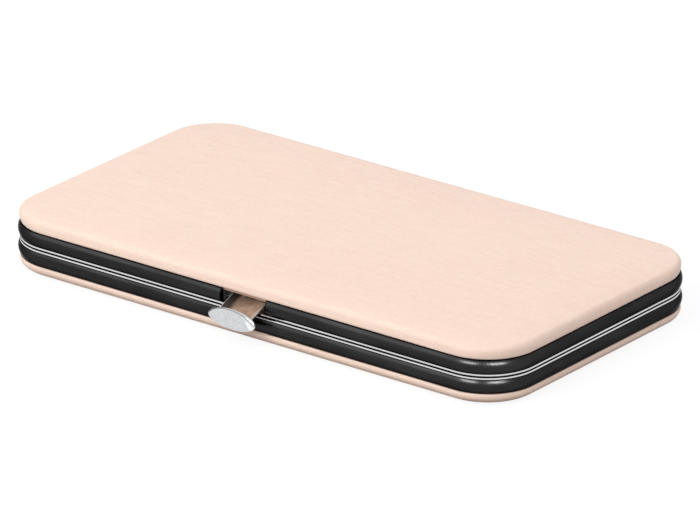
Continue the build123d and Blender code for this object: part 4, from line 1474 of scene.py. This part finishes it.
@dataclass
class Catch:
    """The sprung catch: an oval push pad on a plated lever, its spring and its bracket."""

    pad_half_long: float = PAD_HALF_LONG
    pad_half_high: float = PAD_HALF_HIGH
    pad_thick: float = 0.8 * MM
    tuck: float = 8.0
    edge: float = 0.42 * MM
    dome: float = 0.16 * MM
    heel_shift: Place = (0.0, 0.0, -0.06 * MM)
    tail_shift: Place = (-0.16 * MM, 0.0, -0.24 * MM)
    top_reach: float = 0.1 * MM
    plate_ease: float = 0.07 * MM
    steel_ease: float = 0.05 * MM
    rivet_ease: float = 0.1 * MM

    def build(self) -> None:
        """Model and dress every piece of the catch."""
        lever = dressed_copy("catch_lever", "catch_lever_plate", Stuff.PLATE, self.plate_ease)
        self.shift_top(lever, self.heel_shift)
        spring = dressed_copy("catch_spring", "catch_spring_wire", Stuff.SPRING, 0.0)
        self.shift_top(spring, self.tail_shift)
        self.pad()
        dressed_copy("catch_bracket", "catch_bracket_steel", Stuff.BLACK_STEEL, self.steel_ease)
        dressed_copy("catch_pin", "catch_pin_steel", Stuff.POLISHED, self.steel_ease)
        dressed_copy("catch_rivets", "catch_rivet_heads", Stuff.POLISHED, self.rivet_ease, 3)

    def shift_top(self, piece: Object, shift: Place) -> None:
        """Move a piece's topmost points, so that they clear the bracket when the pad is pressed.

        Args:
            piece: The piece.
            shift: How far they move.
        """
        top = max(vert.co.z for vert in piece.data.vertices)
        with editing(piece, Element.VERTS):
            choose(piece, Element.VERTS, lambda middle, normal: middle.z > top - self.top_reach)
            bpy.ops.transform.translate(value=shift)

    def pad(self) -> None:
        """Press the oval pad: a thin plate with a rounded rim and a slightly domed face."""
        low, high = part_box("catch_pad")
        middle = (low + high) / 2
        tilt = math.radians(self.tuck)
        oval = {"vertices": 96, "radius": self.pad_half_long, "fill_type": "NGON"}
        piece = primitive("catch_push_pad", bpy.ops.mesh.primitive_circle_add, **oval)
        flat = self.pad_thick - self.edge - self.dome
        with editing(piece, whole=True):
            ratio = self.pad_half_high / self.pad_half_long
            bpy.ops.transform.resize(value=(1, ratio, 1), center_override=(0, 0, 0))
            bpy.ops.mesh.extrude_region_move(TRANSFORM_OT_translate={"value": (0, 0, flat)})
            rim = arc((self.edge, flat), self.edge, 0, 72, 6)
            terrace(rim)
            self.swell(rim[-1][1], self.pad_thick)
            bpy.ops.mesh.select_all(action="SELECT")
            turn = math.pi / 2 + tilt
            bpy.ops.transform.rotate(value=-turn, orient_axis="X", center_override=(0, 0, 0))
        self.centre_on(piece, middle)
        smooth(piece, 40)
        hand_over(piece, Stuff.PAD, "catch_pad")

    def swell(self, low: float, high: float, rings: int = 8) -> None:
        """Raise the selected oval to a shallow dome, by rings that shrink towards its middle.

        Args:
            low: Height of the oval's edge.
            high: Height of the dome's middle.
            rings: How many rings it takes.
        """
        for ring in range(1, rings):
            before, after = (ring - 1) / rings, ring / rings
            rise = (high - low) * (after * (2 - after) - before * (2 - before))
            shrink = (1 - after) / (1 - before)
            bpy.ops.mesh.extrude_region_move(TRANSFORM_OT_translate={"value": (0, 0, rise)})
            bpy.ops.transform.resize(value=(shrink, shrink, 1), center_override=(0, 0, 0))

    def centre_on(self, piece: Object, middle: Vector) -> None:
        """Move a piece's mesh so that its box has its middle at a point."""
        corners = [Vector(corner) for corner in piece.bound_box]
        own = sum(corners, Vector()) / len(corners)
        with editing(piece, whole=True):
            bpy.ops.transform.translate(value=middle - own)


@dataclass
class Hinges:
    """Two leaf hinges at the back, each with two leaves, a pin and rivets."""

    ease: float = 0.06 * MM
    rivet_ease: float = 0.12 * MM

    def build(self) -> None:
        """Dress every piece of the hinges."""
        for side in ("left", "right"):
            for half in Half:
                node = f"{half.word}_hinge_leaf_{side}"
                dressed_copy(node, node + "_plate", Stuff.NICKEL, self.ease)
            pin = f"hinge_pin_{side}"
            dressed_copy(pin, pin + "_steel", Stuff.POLISHED, self.ease)
        for half in Half:
            node = f"{half.word}_hinge_rivets"
            dressed_copy(node, node + "_domed", Stuff.POLISHED, self.rivet_ease, 3)


@dataclass
class Insides:
    """What the halves hold under their fabric: rims, boards, foam, lining and tray."""

    rim_ease: float = 0.08 * MM
    sheet_ease: float = 0.05 * MM
    flock_ease: float = 0.3 * MM

    def build(self) -> None:
        """Dress every piece of the insides."""
        for half in Half:
            word = half.word
            dressed_copy(f"{word}_rim", f"{word}_bright_rim", Stuff.LIP, self.rim_ease)
            dressed_copy(f"{word}_board", f"{word}_board_pan", Stuff.BOARD, self.sheet_ease)
            foam = dressed_copy(f"{word}_padding", f"{word}_foam_sheet", Stuff.FOAM, self.sheet_ease)
        lining = dressed_copy("lid_lining", "lid_velour", Stuff.LINING, self.flock_ease, 4)
        dressed_copy("tool_tray", "flocked_tool_tray", Stuff.TRAY, self.flock_ease, 3)


@dataclass
class ToolKit:
    """The tools that lie in the tray."""

    clipper_parts: dict[str, Finish] = field(
        default_factory=lambda: {
            "lower_jaw": Stuff.POLISHED,
            "upper_jaw": Stuff.POLISHED,
            "lever": Stuff.POLISHED,
            "post": Stuff.SATIN,
            "rivet": Stuff.SATIN,
        }
    )
    tools: dict[str, Finish] = field(
        default_factory=lambda: {
            "file_blade": Stuff.FILE,
            "file_handle": Stuff.HANDLE,
            "scissor_lower_blade": Stuff.SATIN,
            "scissor_upper_blade": Stuff.SATIN,
            "scissor_screw": Stuff.POLISHED,
            "tweezer_fixed_arm": Stuff.SATIN,
            "tweezer_moving_arm": Stuff.SATIN,
            "cuticle_pusher": Stuff.SATIN,
            "cuticle_trimmer": Stuff.SATIN,
        }
    )
    ease: float = 0.12 * MM

    def build(self) -> None:
        """Dress every tool."""
        for clipper in ("toenail_clipper", "fingernail_clipper"):
            for part, finish in self.clipper_parts.items():
                node = f"{clipper}_{part}"
                dressed_copy(node, node + "_steel", finish, self.ease)
        for node, finish in self.tools.items():
            dressed_copy(node, node + "_finished", finish, self.ease)


@dataclass
class Studio:
    """White table, soft lamps and the camera at the photograph's angle."""

    azimuth: float = 37.704
    elevation: float = 21.975
    distance: float = 2.463
    aim: Place = (0.0, 0.0, 0.008)
    sensor: float = 36.0
    image_width: float = 700.0
    focal_pixels: float = 9411.5
    object_right: float = -2.01
    object_down: float = -2.43
    lamp_distance: float = 1.3
    air_light: float = 0.715
    table_radius: float = 1.6
    table_gap: float = 0.02 * MM

    def build(self) -> None:
        """Set the floor, the lamps, the world and the camera."""
        self.floor()
        self.lamps()
        self.world()
        self.camera()
        bpy.context.scene.view_settings.view_transform = "Standard"

    def point_at_object(self, thing: Object, azimuth: float, elevation: float, distance: float) -> None:
        """Place a lamp or camera round the object, and let it face the point aimed at.

        Args:
            thing: The lamp or camera.
            azimuth: Its direction, 0 at the front and 90 at the right.
            elevation: Its direction above the table, in degrees.
            distance: How far from the point it is.
        """
        turn, rise = math.radians(azimuth), math.radians(elevation)
        flat = math.cos(rise)
        back = Vector((math.sin(turn) * flat, -math.cos(turn) * flat, math.sin(rise)))
        thing.location = Vector(self.aim) + back * distance
        thing.rotation_euler = back.to_track_quat("Z", "Y").to_euler()

    def camera(self) -> None:
        """Place the camera where the photograph was taken from."""
        lens = bpy.data.cameras.new("camera")
        lens.sensor_width = self.sensor
        lens.lens = self.focal_pixels / self.image_width * self.sensor
        lens.shift_x = -self.object_right / self.image_width
        lens.shift_y = self.object_down / self.image_width
        lens.clip_start = 0.1
        lens.clip_end = 20.0
        camera = add_object("camera", lens)
        self.point_at_object(camera, self.azimuth, self.elevation, self.distance)
        bpy.context.scene.camera = camera

    def lamp(
        self,
        name: str,
        azimuth: float,
        elevation: float,
        size: Point,
        power: float,
        glint: bool = False,
    ) -> None:
        """Hang a soft rectangular lamp that faces the object.

        Args:
            name: The lamp's name.
            azimuth: Its direction round the object, in degrees.
            elevation: Its direction above the table, in degrees.
            size: Its width and height, in metres.
            power: Its power, in watts.
            glint: Whether it only shows in glossy surfaces, and otherwise doesn't show in them.
        """
        light = bpy.data.lights.new(name, "AREA")
        light.shape = "RECTANGLE"
        light.size, light.size_y = size
        light.energy = power
        lamp = add_object(name, light)
        self.point_at_object(lamp, azimuth, elevation, self.lamp_distance)
        lamp.visible_diffuse = not glint
        lamp.visible_glossy = glint

    def lamps(self) -> None:
        """Two soft boxes either side of the camera, one overhead, and three that only glint."""
        self.lamp("left_box", -14.0, 38.0, (1.0, 0.7), 7.5)
        self.lamp("right_box", 56.0, 40.0, (0.6, 0.5), 0.4)
        self.lamp("top_box", -40.0, 75.0, (1.4, 1.4), 1.8)
        self.lamp("left_glint", 3.0, 22.0, (0.62, 0.3), 19.0, glint=True)
        self.lamp("right_glint", 56.0, 22.0, (0.62, 0.3), 22.0, glint=True)
        self.lamp("front_sheen", -38.0, 32.0, (1.2, 1.1), 7.0, glint=True)

    def show(self, graph: Graph, output: str, lighting: Node, seen: Node) -> None:
        """Light the object by one shader, and show another to the camera, metal and glass.

        Args:
            graph: The nodes of the world or of a material.
            output: Blender's name for their output.
            lighting: The shader that lights the object.
            seen: The shader that shows.
        """
        path = graph.add("ShaderNodeLightPath").outputs
        rays = graph.calc("MAXIMUM", path["Is Camera Ray"], path["Is Glossy Ray"])
        rays = graph.calc("MAXIMUM", rays, path["Is Transmission Ray"])
        sides = {0: rays, 1: lighting.outputs[0], 2: seen.outputs[0]}
        graph.add(output, {"Surface": graph.add("ShaderNodeMixShader", sides).outputs[0]})

    def world(self) -> None:
        """Light the scene evenly, and show white behind the object."""
        world = bpy.data.worlds.new("studio")
        graph = Graph.emptied(world)
        air = graph.add("ShaderNodeBackground", {"Color": (1.0, 1.0, 1.0, 1.0), "Strength": self.air_light})
        white = graph.add("ShaderNodeBackground", {"Color": (1.0, 1.0, 1.0, 1.0), "Strength": 1.0})
        self.show(graph, "ShaderNodeOutputWorld", air, white)
        bpy.context.scene.world = world

    def floor(self) -> None:
        """Lay a plain pale table that keeps the object's shadow."""
        disc = {"vertices": 96, "radius": self.table_radius, "fill_type": "NGON"}
        table = primitive("table_top", bpy.ops.mesh.primitive_circle_add, **disc)
        with editing(table, whole=True):
            bpy.ops.transform.translate(value=(0, 0, -self.table_gap))
        paint = bpy.data.materials.new("table_white")
        graph = Graph.emptied(paint)
        matte = graph.add("ShaderNodeBsdfDiffuse", {"Color": (0.52, 0.52, 0.52, 1.0)})
        pale = graph.add("ShaderNodeBsdfDiffuse", {"Color": (0.15, 0.15, 0.15, 1.0)})
        glow = graph.add("ShaderNodeEmission", {"Color": (1.0, 1.0, 1.0, 1.0), "Strength": 0.88})
        lifted = graph.add("ShaderNodeAddShader", {0: pale.outputs[0], 1: glow.outputs[0]})
        self.show(graph, "ShaderNodeOutputMaterial", matte, lifted)
        table.data.materials.append(paint)


def main() -> None:
    """Build the case, sub-assembly by sub-assembly, and the studio round it."""
    logging.basicConfig(level=logging.INFO, format="%(name)s %(message)s")
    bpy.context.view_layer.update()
    plan = CasePlan.from_frame()
    FabricCover(plan, Half.LID, 8.2 * MM, 0.4 * MM, 1.6 * MM, 1.6 * MM).build()
    FabricCover(plan, Half.BASE, 8.0 * MM, 0.0, 2.6 * MM, 3.8 * MM).build()
    for half in Half:
        EdgeBand(plan, half).build()
    Insides().build()
    Catch().build()
    Hinges().build()
    ToolKit().build()
    Studio().build()


if __name__ == "__main__":
    main()
